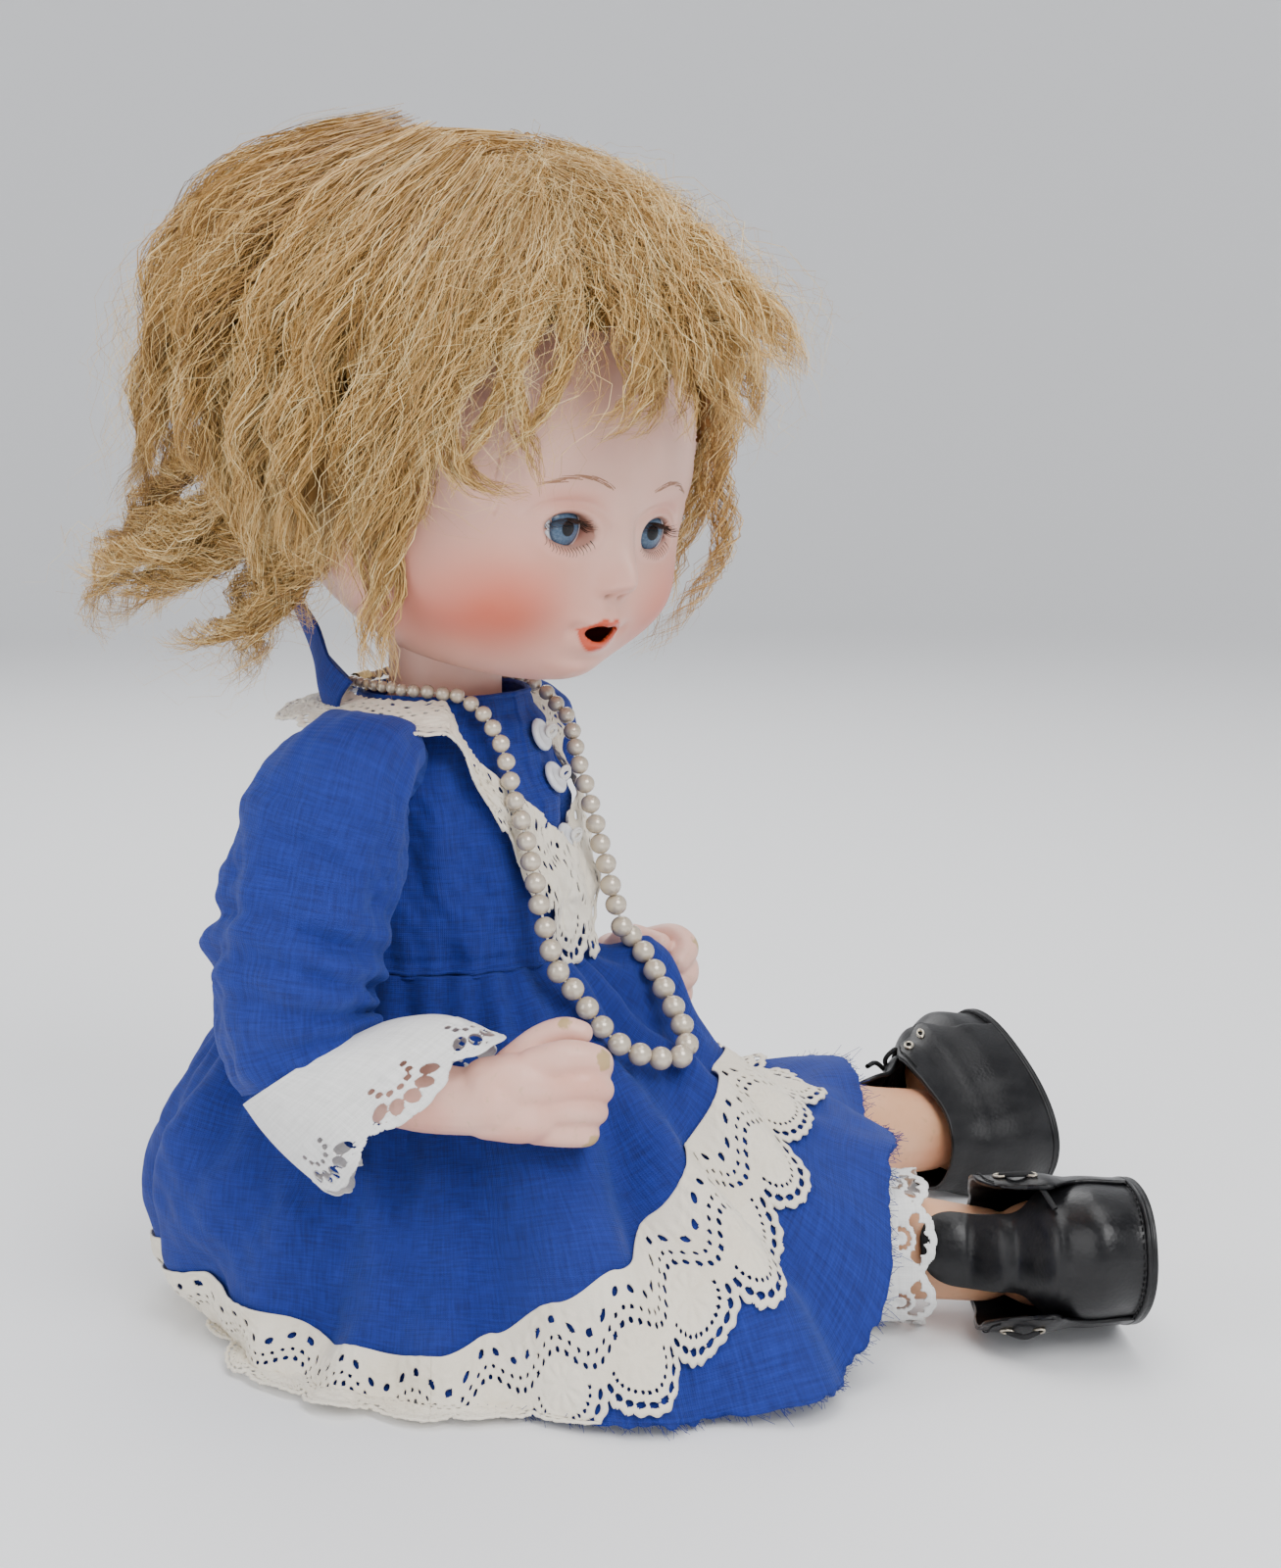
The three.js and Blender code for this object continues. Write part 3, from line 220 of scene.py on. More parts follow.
# ---------------------------------------------------------------- materials
class Paint:
    """A node material with short ways to add what it needs."""

    def __init__(self, name, colour, rough=0.6, **inputs):
        self.mat = bpy.data.materials.new(name)
        self.mat.use_nodes = True
        self.tree = self.mat.node_tree
        self.shader = self.tree.nodes["Principled BSDF"]
        self.set(Base_Color=(*colour, 1), Roughness=rough, **inputs)

    def set(self, **inputs):
        for key, value in inputs.items():
            self.feed(self.shader, key.replace("_", " "), value)

    def feed(self, node, key, value):
        socket = node.inputs[key]
        if isinstance(value, bpy.types.NodeSocket):
            self.tree.links.new(value, socket)
        else:
            socket.default_value = value

    def node(self, kind, inputs=None, **settings):
        made = self.tree.nodes.new("ShaderNode" + kind)
        for key, value in settings.items():
            setattr(made, key, value)
        for key, value in (inputs or {}).items():
            self.feed(made, key, value)
        return made

    def coords(self, scale=(1, 1, 1), uv=False):
        source = self.node("TexCoord").outputs["UV" if uv else "Object"]
        return self.node("Mapping", {"Vector": source, "Scale": scale}).outputs[0]

    def noise(self, scale=5.0, detail=3.0, rough=0.5, stretch=(1, 1, 1), uv=False):
        place_at = self.coords(stretch, uv)
        return self.node("TexNoise", {"Vector": place_at, "Scale": scale, "Detail": detail,
            "Roughness": rough}).outputs["Fac"]

    def value(self, name):
        return self.node("Attribute", attribute_name=name).outputs["Fac"]

    def math(self, operation, a, b=0.0, clamp=False):
        return self.node("Math", {0: a, 1: b}, operation=operation, use_clamp=clamp).outputs[0]

    def span(self, value, lo, hi, to_lo=0.0, to_hi=1.0):
        return self.node("MapRange", {"Value": value, "From Min": lo, "From Max": hi, "To Min": to_lo,
            "To Max": to_hi}).outputs[0]

    def blend(self, factor, a, b, mode="MIX"):
        made = self.node("Mix", data_type="RGBA", blend_type=mode)
        self.feed(made, "Factor", factor)
        for index, value in ((6, a), (7, b)):
            if isinstance(value, bpy.types.NodeSocket):
                self.tree.links.new(value, made.inputs[index])
            else:
                made.inputs[index].default_value = (*value, 1)
        return made.outputs[2]

    def ramp(self, factor, *stops):
        made = self.node("ValToRGB", {"Fac": factor})
        for i, (at, colour) in enumerate(stops):
            stop = made.color_ramp.elements[i] if i < 2 else made.color_ramp.elements.new(at)
            stop.position = at
            stop.color = (*colour, 1)
        return made.outputs[0]

    def bump(self, height, strength=0.3, distance=0.0002):
        made = self.node("Bump", {"Height": height, "Strength": strength, "Distance": distance})
        self.set(Normal=made.outputs[0])


def weave(paint, thread_mm, depth, slub=0.5):
    """Height of a plain weave over UVs in mm, with thicker threads here and there."""
    count = 1 / thread_mm
    warp = paint.node("TexWave", {"Vector": paint.coords((count, count, 1), True), "Scale": 0.314,
        "Distortion": 0.6, "Detail Scale": 0.4}, bands_direction="X")
    weft = paint.node("TexWave", {"Vector": paint.coords((count, count, 1), True), "Scale": 0.314,
        "Distortion": 0.6, "Detail Scale": 0.4}, bands_direction="Y")
    threads = paint.math("MULTIPLY", warp.outputs["Fac"], weft.outputs["Fac"])
    across = paint.noise(1.0, 2, stretch=(0.12, 1.5, 1), uv=True)
    down = paint.noise(1.0, 2, stretch=(1.5, 0.12, 1), uv=True)
    slubs = paint.math("ADD", across, down)
    height = paint.math("ADD", paint.math("MULTIPLY", threads, 0.6), paint.math("MULTIPLY", slubs, slub))
    paint.bump(height, depth, 0.0003)
    return slubs


def blue_cotton():
    paint = Paint("royal_blue_cotton", (0.004, 0.035, 0.4), 0.82, Sheen_Weight=0.18, Sheen_Roughness=0.5,
        Sheen_Tint=(0.25, 0.4, 1, 1))
    slubs = weave(paint, 0.5, 0.6, 0.9)
    tone = paint.ramp(paint.span(slubs, 0.7, 1.3), (0.0, (0.001, 0.009, 0.13)), (1.0, (0.003, 0.025, 0.28)))
    faded = paint.noise(26.0, 4)
    paint.set(Base_Color=paint.blend(paint.span(faded, 0.35, 0.75, 0, 0.35), tone, (0.002, 0.015, 0.19)))
    return paint.mat


def thread_lace(name, colour, shade):
    paint = Paint(name, colour, 0.9, Sheen_Weight=0.2, Subsurface_Weight=0.0)
    fine = paint.noise(1800.0, 3)
    aged = paint.noise(60.0, 3)
    paint.set(Base_Color=paint.blend(paint.span(aged, 0.35, 0.8, 0, 0.6), colour, shade))
    paint.bump(fine, 0.6, 0.0003)
    return paint.mat


def white_lawn():
    paint = Paint("white_lawn", (0.86, 0.86, 0.84), 0.85, Sheen_Weight=0.2)
    slubs = weave(paint, 0.35, 0.3, 0.3)
    paint.set(Base_Color=paint.ramp(paint.span(slubs, 0.7, 1.3), (0.0, (0.74, 0.74, 0.72)),
        (1.0, (0.9, 0.9, 0.88))))
    return paint.mat


def mohair():
    paint = Paint("golden_mohair", (0.6, 0.42, 0.2), 0.5, Anisotropic=0.4)
    tone = paint.ramp(paint.value("tone"), (0.0, (0.17, 0.08, 0.018)), (0.40, (0.44, 0.24, 0.06)),
        (0.75, (0.76, 0.49, 0.17)), (1.0, (0.94, 0.74, 0.38)))
    # Each hair darkens towards its root: painted shade where the hair lies thick near the cap.
    paint.set(Base_Color=paint.blend(paint.span(paint.value("along"), 0.0, 0.7, 0.35, 0.0), tone,
        (0.26, 0.13, 0.045)))
    paint.set(Roughness=0.42, Specular_IOR_Level=0.6, Subsurface_Weight=0.0)
    return paint.mat


def bisque():
    paint = Paint("painted_bisque", (0.84, 0.62, 0.54), 0.42, Subsurface_Weight=0.12,
        Subsurface_Scale=0.002, Coat_Weight=0.08, Coat_Roughness=0.4)
    paint.set(Subsurface_Radius=(1.0, 0.4, 0.25))
    mottled = paint.noise(70.0, 4)
    base = paint.blend(paint.span(mottled, 0.35, 0.7, 0, 0.5), (0.74, 0.43, 0.34), (0.81, 0.52, 0.43))
    rosy = paint.blend(paint.math("MULTIPLY", paint.value("blush"),
        paint.span(mottled, 0.2, 0.8, 0.85, 1.0)), base, (0.60, 0.11, 0.05))
    lips = paint.blend(paint.value("lips"), rosy, (0.60, 0.075, 0.025))
    lines = paint.blend(paint.value("shade"), lips, (0.3, 0.12, 0.07))
    paint.set(Base_Color=lines)
    paint.set(Roughness=paint.span(paint.value("lips"), 0, 1, 0.42, 0.25))
    paint.bump(paint.noise(900.0, 2), 0.08, 0.0001)
    return paint.mat


def composition(name, base, warm, worn):
    paint = Paint(name, base, 0.45, Coat_Weight=0.15, Coat_Roughness=0.35, Subsurface_Weight=0.08,
        Subsurface_Scale=0.002)
    mottled = paint.noise(55.0, 5, 0.6)
    skin = paint.blend(paint.span(mottled, 0.3, 0.72), base, warm)
    spots = paint.noise(420.0, 3)
    skin = paint.blend(paint.span(spots, 0.62, 0.75, 0, 0.35), skin, worn)
    edge = paint.math("ADD", paint.value("wear"), paint.span(paint.noise(300.0, 3), 0.3, 0.7, -0.25, 0.25))
    skin = paint.blend(paint.span(edge, 0.45, 0.6), skin, worn)
    skin = paint.blend(paint.math("MULTIPLY", paint.value("blush"), 0.5), skin, (0.72, 0.2, 0.12))
    paint.set(Base_Color=skin)
    paint.bump(paint.noise(260.0, 4), 0.15, 0.0002)
    return paint.mat


def leather():
    paint = Paint("black_leather", (0.012, 0.012, 0.013), 0.38, Coat_Weight=0.12, Coat_Roughness=0.25,
        Specular_IOR_Level=0.3)
    grain = paint.node("TexVoronoi", {"Vector": paint.coords(), "Scale": 900.0}).outputs["Distance"]
    creases = paint.noise(90.0, 5, 0.6, (1, 1, 2.5))
    paint.set(Roughness=paint.span(creases, 0.3, 0.7, 0.28, 0.5))
    paint.set(Base_Color=paint.ramp(creases, (0.3, (0.003, 0.003, 0.004)), (0.75, (0.012, 0.012, 0.013))))
    paint.bump(paint.math("ADD", paint.math("MULTIPLY", grain, 0.5), creases), 0.25, 0.0004)
    return paint.mat


def plain(name, colour, rough=0.6, grain=300.0, depth=0.15, **inputs):
    paint = Paint(name, colour, rough, **inputs)
    spots = paint.noise(grain, 4)
    dark = tuple(0.8 * c for c in colour)
    paint.set(Base_Color=paint.blend(paint.span(spots, 0.3, 0.75), colour, dark))
    paint.bump(spots, depth, 0.0002)
    return paint.mat


def pearl():
    paint = Paint("champagne_pearl", (0.74, 0.66, 0.54), 0.26, Metallic=0.25, Coat_Weight=0.8,
        Coat_Roughness=0.08)
    # Lighter where the pearl faces the camera and darker towards its rims: painted sheen and shade.
    facing = paint.node("LayerWeight", {"Blend": 0.35}).outputs["Facing"]
    paint.set(Base_Color=paint.ramp(facing, (0.0, (0.66, 0.58, 0.46)), (0.55, (0.50, 0.41, 0.30)),
        (1.0, (0.34, 0.29, 0.25))))
    return paint.mat


def eye_glass():
    paint = Paint("blue_glass_eye", (0.8, 0.8, 0.82), 0.15, Coat_Weight=0.3, Coat_Roughness=0.03,
        Specular_IOR_Level=0.1)
    out = paint.value("iris")
    polar = paint.node("CombineXYZ", {0: paint.value("ray"), 1: paint.math("MULTIPLY", out, 0.6)})
    rays = paint.node("TexNoise", {"Vector": polar.outputs[0], "Scale": 9.0, "Detail": 3.0}).outputs["Fac"]
    blue = paint.ramp(rays, (0.25, (0.03, 0.06, 0.115)), (0.55, (0.085, 0.14, 0.22)),
        (0.85, (0.26, 0.34, 0.42)))
    eye = paint.blend(paint.span(out, 0.80, 0.98), blue, (0.02, 0.035, 0.07))
    eye = paint.blend(paint.span(out, 0.98, 1.06), eye, (0.74, 0.76, 0.80))
    eye = paint.blend(paint.span(out, 0.42, 0.36), eye, (0.004, 0.004, 0.006))
    paint.set(Base_Color=paint.blend(paint.value("lid"), eye, (0.75, 0.48, 0.38)))
    return paint.mat


BLUE = blue_cotton()
LACE = thread_lace("cream_cutwork", (0.86, 0.80, 0.68), (0.78, 0.69, 0.53))
EYELET = white_lawn()
HAIR = mohair()
BISQUE = bisque()
HAND = composition("pink_composition", (0.80, 0.44, 0.34), (0.86, 0.53, 0.43), (0.52, 0.36, 0.17))
LEG = composition("tan_composition", (0.72, 0.36, 0.19), (0.80, 0.45, 0.27), (0.50, 0.28, 0.14))
LEATHER = leather()
PEARL = pearl()
BUTTON = plain("milk_glass", (0.80, 0.82, 0.86), 0.18, 120.0, 0.05, Coat_Weight=0.6)
NICKEL = plain("worn_nickel", (0.62, 0.56, 0.45), 0.32, 500.0, 0.1, Metallic=1.0)
GLASS_EYE = eye_glass()
LASH = plain("dark_lashes", (0.035, 0.018, 0.01), 0.5, 200.0, 0.0)
BROW = plain("brown_brow_paint", (0.36, 0.17, 0.09), 0.5, 400.0, 0.0)
CORD = plain("black_lace_cord", (0.008, 0.008, 0.009), 0.8, 900.0, 0.5)
INNER = {
    "steel": plain("steel_wire", (0.45, 0.44, 0.42), 0.35, 400.0, 0.1, Metallic=1.0),
    "brass": plain("brass", (0.72, 0.5, 0.2), 0.3, 400.0, 0.1, Metallic=1.0),
    "elastic": plain("elastic_cord", (0.78, 0.74, 0.66), 0.85, 1500.0, 0.5),
    "composition": plain("torso_composition", (0.74, 0.47, 0.34), 0.5, 200.0, 0.2),
    "wood": plain("turned_wood", (0.50, 0.30, 0.14), 0.55, 250.0, 0.2),
    "card": plain("pate_card", (0.52, 0.44, 0.32), 0.85, 500.0, 0.3),
    "plaster": plain("plaster", (0.80, 0.77, 0.72), 0.9, 300.0, 0.4),
    "lead": plain("lead_weight", (0.22, 0.22, 0.23), 0.5, 200.0, 0.2, Metallic=1.0),
    "net": plain("cap_net", (0.10, 0.07, 0.05), 0.9, 1800.0, 0.8),
    "tape": plain("cotton_tape", (0.82, 0.80, 0.76), 0.85, 1200.0, 0.4),
    "mouth": plain("dark_mouth", (0.035, 0.008, 0.006), 0.7, 200.0, 0.1),
    "lawn": EYELET,
}
for names, kind in (
    (("torso_front_shell", "torso_back_shell"), "composition"),
    (("arm_elastic", "leg_elastic_right", "leg_elastic_left"), "elastic"),
    (("neck_button",), "wood"), (("pate",), "card"), (("wig_cap",), "net"), (("mouth_backing",), "mouth"),
    (("neck_hook", "eye_rocker", "arm_hook_right", "arm_hook_left", "leg_pin_right", "leg_pin_left"),
        "steel"),
    (("eye_plaster_right", "eye_plaster_left"), "plaster"), (("eye_weight",), "lead"),
    (("necklace_clasp",), "brass"), (("bloomers_seat",), "lawn"),
):
    for name in names:
        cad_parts[name].data.materials.clear()
        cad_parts[name].data.materials.append(INNER[kind])

# ---------------------------------------------------------------- shape of the doll, mm
# height, half width, half depth, centre y
TORSO = [
    (5, 24, 22, 2), (12, 34, 29, 1), (25, 41, 34, 1), (45, 44, 36, 0), (80, 37, 34, -2),
    (110, 34, 32, -2), (135, 33.5, 29, -1), (150, 32, 25, 0), (158, 28, 22, -1), (163, 22, 20, -1),
    (172, 17, 16, -1),
]
# direction from the front in degrees, hem radius and height, middle radius and height
SKIRT = [
    (-180, 64, 1.5, 110, 42), (-135, 62, 1.5, 96, 46), (-88, 74, 1.2, 43, 42), (-60, 82, 1.2, 47, 48),
    (-36, 112, 1.2, 70, 56), (-18, 128, 4, 74, 70), (10, 120, 47, 60, 68), (32, 118, 40, 58, 62),
    (55, 130, 49, 43, 53), (67, 126, 32, 46, 50), (79, 104, 8, 59, 50), (97, 78, 1.2, 47, 45),
    (135, 80, 3, 80, 58), (180, 64, 1.5, 110, 42),
]
WAIST_Z = 98
HEAD_CENTRE = np.array([0, -9, 231.0])
# half width and depth of the skull, its height above and below the middle, and the middle's y
SKULL_X, SKULL_Y, SKULL_UP, SKULL_DOWN, SKULL_AT = 53, 54, 58, 57, -5
HEAD_TURN = turn("Z", -24) @ turn("X", 9) @ turn("Y", 5)
EYE_X, EYE_Y, EYE_Z, EYE_R = 15, -46.6, -13, 8.3
LID_Z = -13.2
MOUTH_Z = -37.4
SHOULDER = np.array([50, 3, 149.0])
HIP = np.array([30, -4, 29.0])
LEG_YAW = {"right": 24, "left": 46}
TOE_LIFT = {"right": 20, "left": 30}
SOLE_AT = {"right": 182, "left": 171}
LEG_LENGTH = 184
FLAP_FLARE = {"right": 6.5, "left": 1.6}
# height above the sole, and place from the outer front edge (0) round the heel to the inner one (1)
EYELETS = {
    "low_outer": (25, 0.045), "high_outer": (32, 0.05), "low_inner": (25, 0.955),
    "high_inner": (32, 0.95),
}
CLOTH = 0.7
SIDES = ("right", "left")


def torso_point(angle, z, grow):
    rx, ry, cy = np.moveaxis(table(TORSO, z), -1, 0)
    a = np.radians(angle)
    return np.stack([(rx + grow) * np.sin(a), cy - (ry + grow) * np.cos(a), z + 0 * a], -1)


def from_head(p):
    """Points of the head's own frame in the doll's."""
    return np.asarray(p, float) @ HEAD_TURN.T + HEAD_CENTRE


def to_head(p):
    return (np.asarray(p, float) - HEAD_CENTRE) @ HEAD_TURN


# ---------------------------------------------------------------- head
def skull_point(d, grow):
    front, low = smooth(-d[..., 1] * 1.4), smooth(-d[..., 2] * 1.6)
    power = 2 + 1.3 * front * low
    q = np.hypot(d[..., 0], d[..., 1])
    k = 1 / (q ** power + np.abs(d[..., 2]) ** power) ** (1 / power)
    p = np.stack([SKULL_X * d[..., 0] * k, SKULL_AT + SKULL_Y * d[..., 1] * k,
        np.where(d[..., 2] > 0, SKULL_UP, SKULL_DOWN) * d[..., 2] * k], -1)
    p[..., 0] *= 1 - 0.1 * low * smooth((-p[..., 2] - 30) / 25)
    n = unit(np.stack([p[..., 0] / SKULL_X ** 2, (p[..., 1] - SKULL_AT) / SKULL_Y ** 2,
        p[..., 2] / 3300], -1))
    grow = np.asarray(grow, float)
    return p + n * (grow[..., None] if grow.ndim else grow)


def face_shift(x, z):
    """How far the features stand forward of the plain skull."""
    a = np.abs(x)
    nose = 7.0 * np.exp(-(x / 4.3) ** 2 - ((z + 24) / np.where(z > -24, 6.5, 3.4)) ** 2)
    nose = nose + 2.4 * bell(x / 4.2, (z + 15) / 8) + 1.7 * bell((a - 4.0) / 1.7, (z + 25.6) / 2.2)
    nose = nose - 1.3 * bell((a - 2.1) / 1.0, (z + 27.8) / 0.9)
    lips = 3.3 * bell(x / 9.5, (z + 36) / 6.5) + 1.1 * bell(x / 6.8, (z + 34.3) / 1.5)
    lips = lips + 1.5 * bell(x / 5.4, (z + 41.4) / 1.9)
    lips = lips - 1.2 * bell((a - 8.2) / 1.9, (z + 37.4) / 2.0) - 0.5 * bell(x / 1.3, (z + 31) / 2.2)
    lips = lips - 0.9 * bell(x / 6.5, (z + 45.4) / 1.8)
    chin = 6.2 * bell(x / 12.5, (z + 50.5) / 7.0) - 0.35 * bell(x / 1.6, (z + 51) / 3)
    cheek = 4 * bell((a - 25) / 13, (z + 29) / 12)
    brow = 2.6 * bell(x / 30, (z - 14) / 16) + 0.9 * bell((a - 15) / 10, (z + 2.5) / 3.4)
    hollow = -3.6 * bell((a - 15) / 8.4, (z + 12.5) / 6.4)
    r = np.hypot((a - 15) / 7.6, (z + 13.2) / 4.9)
    lids = 1.25 * np.exp(-((r - 1.06) / 0.22) ** 2)
    lids = lids - 0.55 * np.exp(-((r - 1.55) / 0.16) ** 2) * smooth((z + 13) / 3)
    return nose + lips + chin + cheek + brow + hollow + lids


def on_face(x, z, lift=0.0):
    """Points of the face surface, head frame, for places x and z seen from the front."""
    x, z = np.asarray(x, float), np.asarray(z, float)
    y = np.full(np.shape(x), -40.0)
    for _ in range(6):
        d = unit(np.stack([x / SKULL_X, (y - SKULL_AT) / SKULL_Y,
            z / np.where(z > 0, SKULL_UP, SKULL_DOWN)], -1))
        p = skull_point(d, 0.0)
        for _ in range(3):
            d = unit(d + np.stack([(x - p[..., 0]) / SKULL_X, 0 * x, (z - p[..., 2]) / SKULL_DOWN], -1))
            p = skull_point(d, 0.0)
        y = p[..., 1]
    y = y - face_shift(x, z) * smooth(-y / 30)
    return np.stack([x, y - lift, z], -1)


def eye_opening(x, z):
    """Above 0 outside the almond of either eye."""
    a = np.abs(x) - EYE_X
    tilt = z - LID_Z - 0.06 * a
    high = np.where(tilt > 0, 4.3 - 0.012 * (a + 0.6) ** 2, 3.6)
    return (np.hypot(a / 6.8, tilt / high) - 1) * 4


def mouth_opening(x, z):
    """Above 0 outside the open mouth."""
    high = np.where(z > MOUTH_Z, 2.1 - 0.5 * bell(x / 1.3), 2.7)
    return (np.hypot(x / 5.4, (z - MOUTH_Z) / high) - 1) * 2.2


def snap_to_edge(u, v, height, cell):
    """Moves grid places near the zero line of height(u, v) onto it, so that a cut there is smooth."""
    for _ in range(2):
        f = height(u, v)
        e = cell * 0.2
        gu = (height(u + e, v) - height(u - e, v)) / (2 * e)
        gv = (height(u, v + e) - height(u, v - e)) / (2 * e)
        g2 = gu ** 2 + gv ** 2 + 1e-6
        near = np.abs(f) < 0.62 * cell * np.sqrt(g2)
        u, v = u - near * f * gu / g2, v - near * f * gv / g2
    return u, v


def head_shell():
    nu, nv = 430, 300
    s = np.linspace(-1, 1, nu, endpoint=False)
    a = math.pi * (0.45 * s + 0.55 * s ** 3)
    lat = np.linspace(-math.pi / 2 + 0.02, math.pi / 2 - 0.02, nv)
    a, lat = np.meshgrid(a, lat, indexing="ij")
    d = np.stack([np.cos(lat) * np.sin(a), -np.cos(lat) * np.cos(a), np.sin(lat)], -1)
    p = skull_point(d, 0.0)
    front = p[..., 1] < -20
    holes = (eye_opening, mouth_opening)
    for hole in holes:
        x, z = snap_to_edge(p[..., 0], p[..., 2], hole, 0.7)
        p[..., 0], p[..., 2] = np.where(front, x, p[..., 0]), np.where(front, z, p[..., 2])
    p[..., 1] -= np.where(p[..., 1] < 0, face_shift(p[..., 0], p[..., 2]) * smooth(-p[..., 1] / 30), 0)
    x, z = p[..., 0].ravel(), p[..., 2].ravel()
    cut = np.minimum(eye_opening(x, z), mouth_opening(x, z))
    cut = np.where(front.ravel(), cut, 9)
    crown = 0.139 * p[..., 1].ravel() + 0.99 * z
    faces = grid_faces(nu, nv, wrap_u=True)
    faces = faces[(cut[faces].mean(1) > 0) & (crown[faces].max(1) < 31)]
    ax = np.abs(x)
    blush = bell((ax - 28) / 19, (z + 34) / 15.5) + 0.35 * bell((ax - 18) / 9, (z + 5.5) / 3.6)
    blush = blush + 0.12 * bell(x / 5, (z + 25) / 5) + 0.25 * bell(x / 12, (z + 51) / 6)
    blush = np.clip(blush, 0, 1) * smooth((8 - p[..., 1].ravel()) / 30)
    top = -37.6 + 3.9 * np.clip(1 - (ax / 8.0) ** 1.7, -1, 1)
    top = top + 0.6 * bell((ax - 2.5) / 1.5) - 0.5 * bell(x)
    low = -37.5 - 5.6 * np.clip(1 - (ax / 6.9) ** 2, 0, 1) ** 0.75
    inside = np.minimum(np.minimum(top - z, z - low), 8.0 - ax)
    lips = smooth((inside + 0.35) / 0.7) * front.ravel()
    dark = 0.9 * bell((ax - 2.1) / 0.9, (z + 28.0) / 0.7) * front.ravel()
    rim = bell((eye_opening(x, z) - 0.2) / 0.45) * smooth((z + 13.5) / 2) * front.ravel()
    ob = build("bisque_head", from_head(p), faces, BISQUE,
        values={"blush": blush, "lips": lips, "shade": np.clip(dark + 0.5 * rim, 0, 1)})
    thicken(ob, 1.2, -1.0)
    place(ob, "head", "bisque", "head_shell")


def neck_shell():
    line = curve([(0, -1, 159), (0.3, -1.2, 168), (0.5, -1.5, 176), (0.4, -3.5, 186), (0, -5, 198)], 20)
    t = np.linspace(0, 1, 20)
    points, quads = tube(line, 15.0 + 3.7 * t ** 2.4 - 0.5 * bell((t - 0.35) / 0.2), 64)
    blank = np.zeros(len(points))
    place(build("bisque_neck", points, quads, BISQUE,
        values={"blush": blank, "lips": blank, "shade": blank}), "head", "bisque")


def ear(side):
    """Moulded ear, low on the side of the head."""
    s = -1 if side == "right" else 1
    k = np.linspace(0, 1, 24)
    rim = curve([(0, 3, 9), (0, 9, 8), (0, 11, 2), (0, 8, -5), (0, 3, -9), (0, 0, -8)], 24)
    points, quads = tube(rim, 1.9 - 0.9 * np.abs(k - 0.55), 10)
    bowl, bowl_faces = sphere((0, 4, 0), 1.0, 18, (1.8, 5.5, 8))
    points, quads = merge([(points, quads), (bowl, bowl_faces)])
    base = skull_point(unit(np.array([[s * 0.98, 0.10, -0.16]])), 0.2)[0]
    tilt = turn("Z", s * -18) @ turn("X", 8)
    points = points * 0.9 @ tilt.T + base
    blank = np.zeros(len(points))
    ob = build(f"ear_{side}", from_head(points), quads, BISQUE,
        values={"blush": blank + 0.25, "lips": blank, "shade": blank})
    place(ob, "head", "bisque")


def eyes():
    for side, s in zip(SIDES, (-1, 1)):
        rng = np.random.default_rng(31)
        eyeball(side, s)
        socket_rim(side, s)
        upper_lashes(side, s, rng)
        painted_lashes(side, s, rng)
        brow(side, s, rng)


def eyeball(side, s):
    u, v = np.meshgrid(np.linspace(-math.pi, math.pi, 96, endpoint=False), np.linspace(0, math.pi, 64),
        indexing="ij")
    look = turn("Z", -4) @ turn("X", -3)
    d = np.stack([np.sin(v) * np.sin(u), -np.cos(v), np.sin(v) * np.cos(u)], -1) @ look.T
    p = np.array([s * EYE_X, EYE_Y, EYE_Z]) + EYE_R * d
    p[..., 1] -= 0.3 * smooth(1 - v / 0.62)
    lid = smooth((d[..., 2] - 0.50) / 0.03)
    ob = build(f"glass_eye_{side}", from_head(p), grid_faces(96, 64, wrap_u=True), GLASS_EYE,
        values={"iris": v / 0.60, "ray": u * 2.2, "lid": lid})
    place(ob, "sleep_eyes", "glass", f"eyeball_{side}")


def socket_rim(side, s):
    """Joins the edge of the eye's opening to the ball behind it."""
    turn_at = around(96)
    c, t = np.cos(turn_at) * 6.85, np.sin(turn_at)
    x = s * EYE_X + c * (1 if s > 0 else -1)
    z = LID_Z + 0.06 * c + t * np.where(t > 0, 4.35 - 0.012 * (c + 0.6) ** 2, 3.65)
    ball_y = EYE_Y - np.sqrt(np.clip(EYE_R ** 2 - (x - s * EYE_X) ** 2 - (z - EYE_Z) ** 2, 1, None))
    shell = on_face(x, z, -0.1)
    rows = [mix(shell, np.stack([x, ball_y + 0.25, z], -1), k) for k in (0.0, 0.35, 0.7, 1.0)]
    rim = np.stack(rows)
    lid_line = np.broadcast_to(0.75 * smooth(t * 2 + 0.2), rim.shape[:2])
    ob = build(f"eye_socket_rim_{side}", from_head(rim), grid_faces(4, 96, wrap_v=True), BISQUE,
        values={"blush": 0.25 + 0 * lid_line, "lips": 0 * lid_line, "shade": lid_line})
    place(ob, "head", "bisque")


def upper_lashes(side, s, rng):
    parts = []
    for i in range(46):
        w = (i + rng.uniform(0.2, 0.8)) / 46 * 2 - 1
        a = s * EYE_X + 6.3 * w
        z = LID_Z + 4.0 * math.sqrt(max(0, 1 - w * w * 0.93)) - 0.9
        deep = math.sqrt(max(1, (EYE_R + 0.1) ** 2 - (a - s * EYE_X) ** 2 - (z - EYE_Z) ** 2))
        root = np.array([a, EYE_Y - deep, z])
        long = rng.uniform(3.6, 5.2)
        out = unit(np.array([0.35 * w + rng.normal(0, 0.1), -1.0, -0.15 + rng.normal(0, 0.1)]))
        hair = curve([root, root + out * long * 0.5 + (0, 0, -0.35), root + out * long + (0, 0, 0.35)], 8)
        parts.append(tube(from_head(hair), np.linspace(0.11, 0.03, 8), 4))
    points, quads = merge(parts)
    place(build(f"upper_lashes_{side}", points, quads, LASH), "sleep_eyes", "mohair")


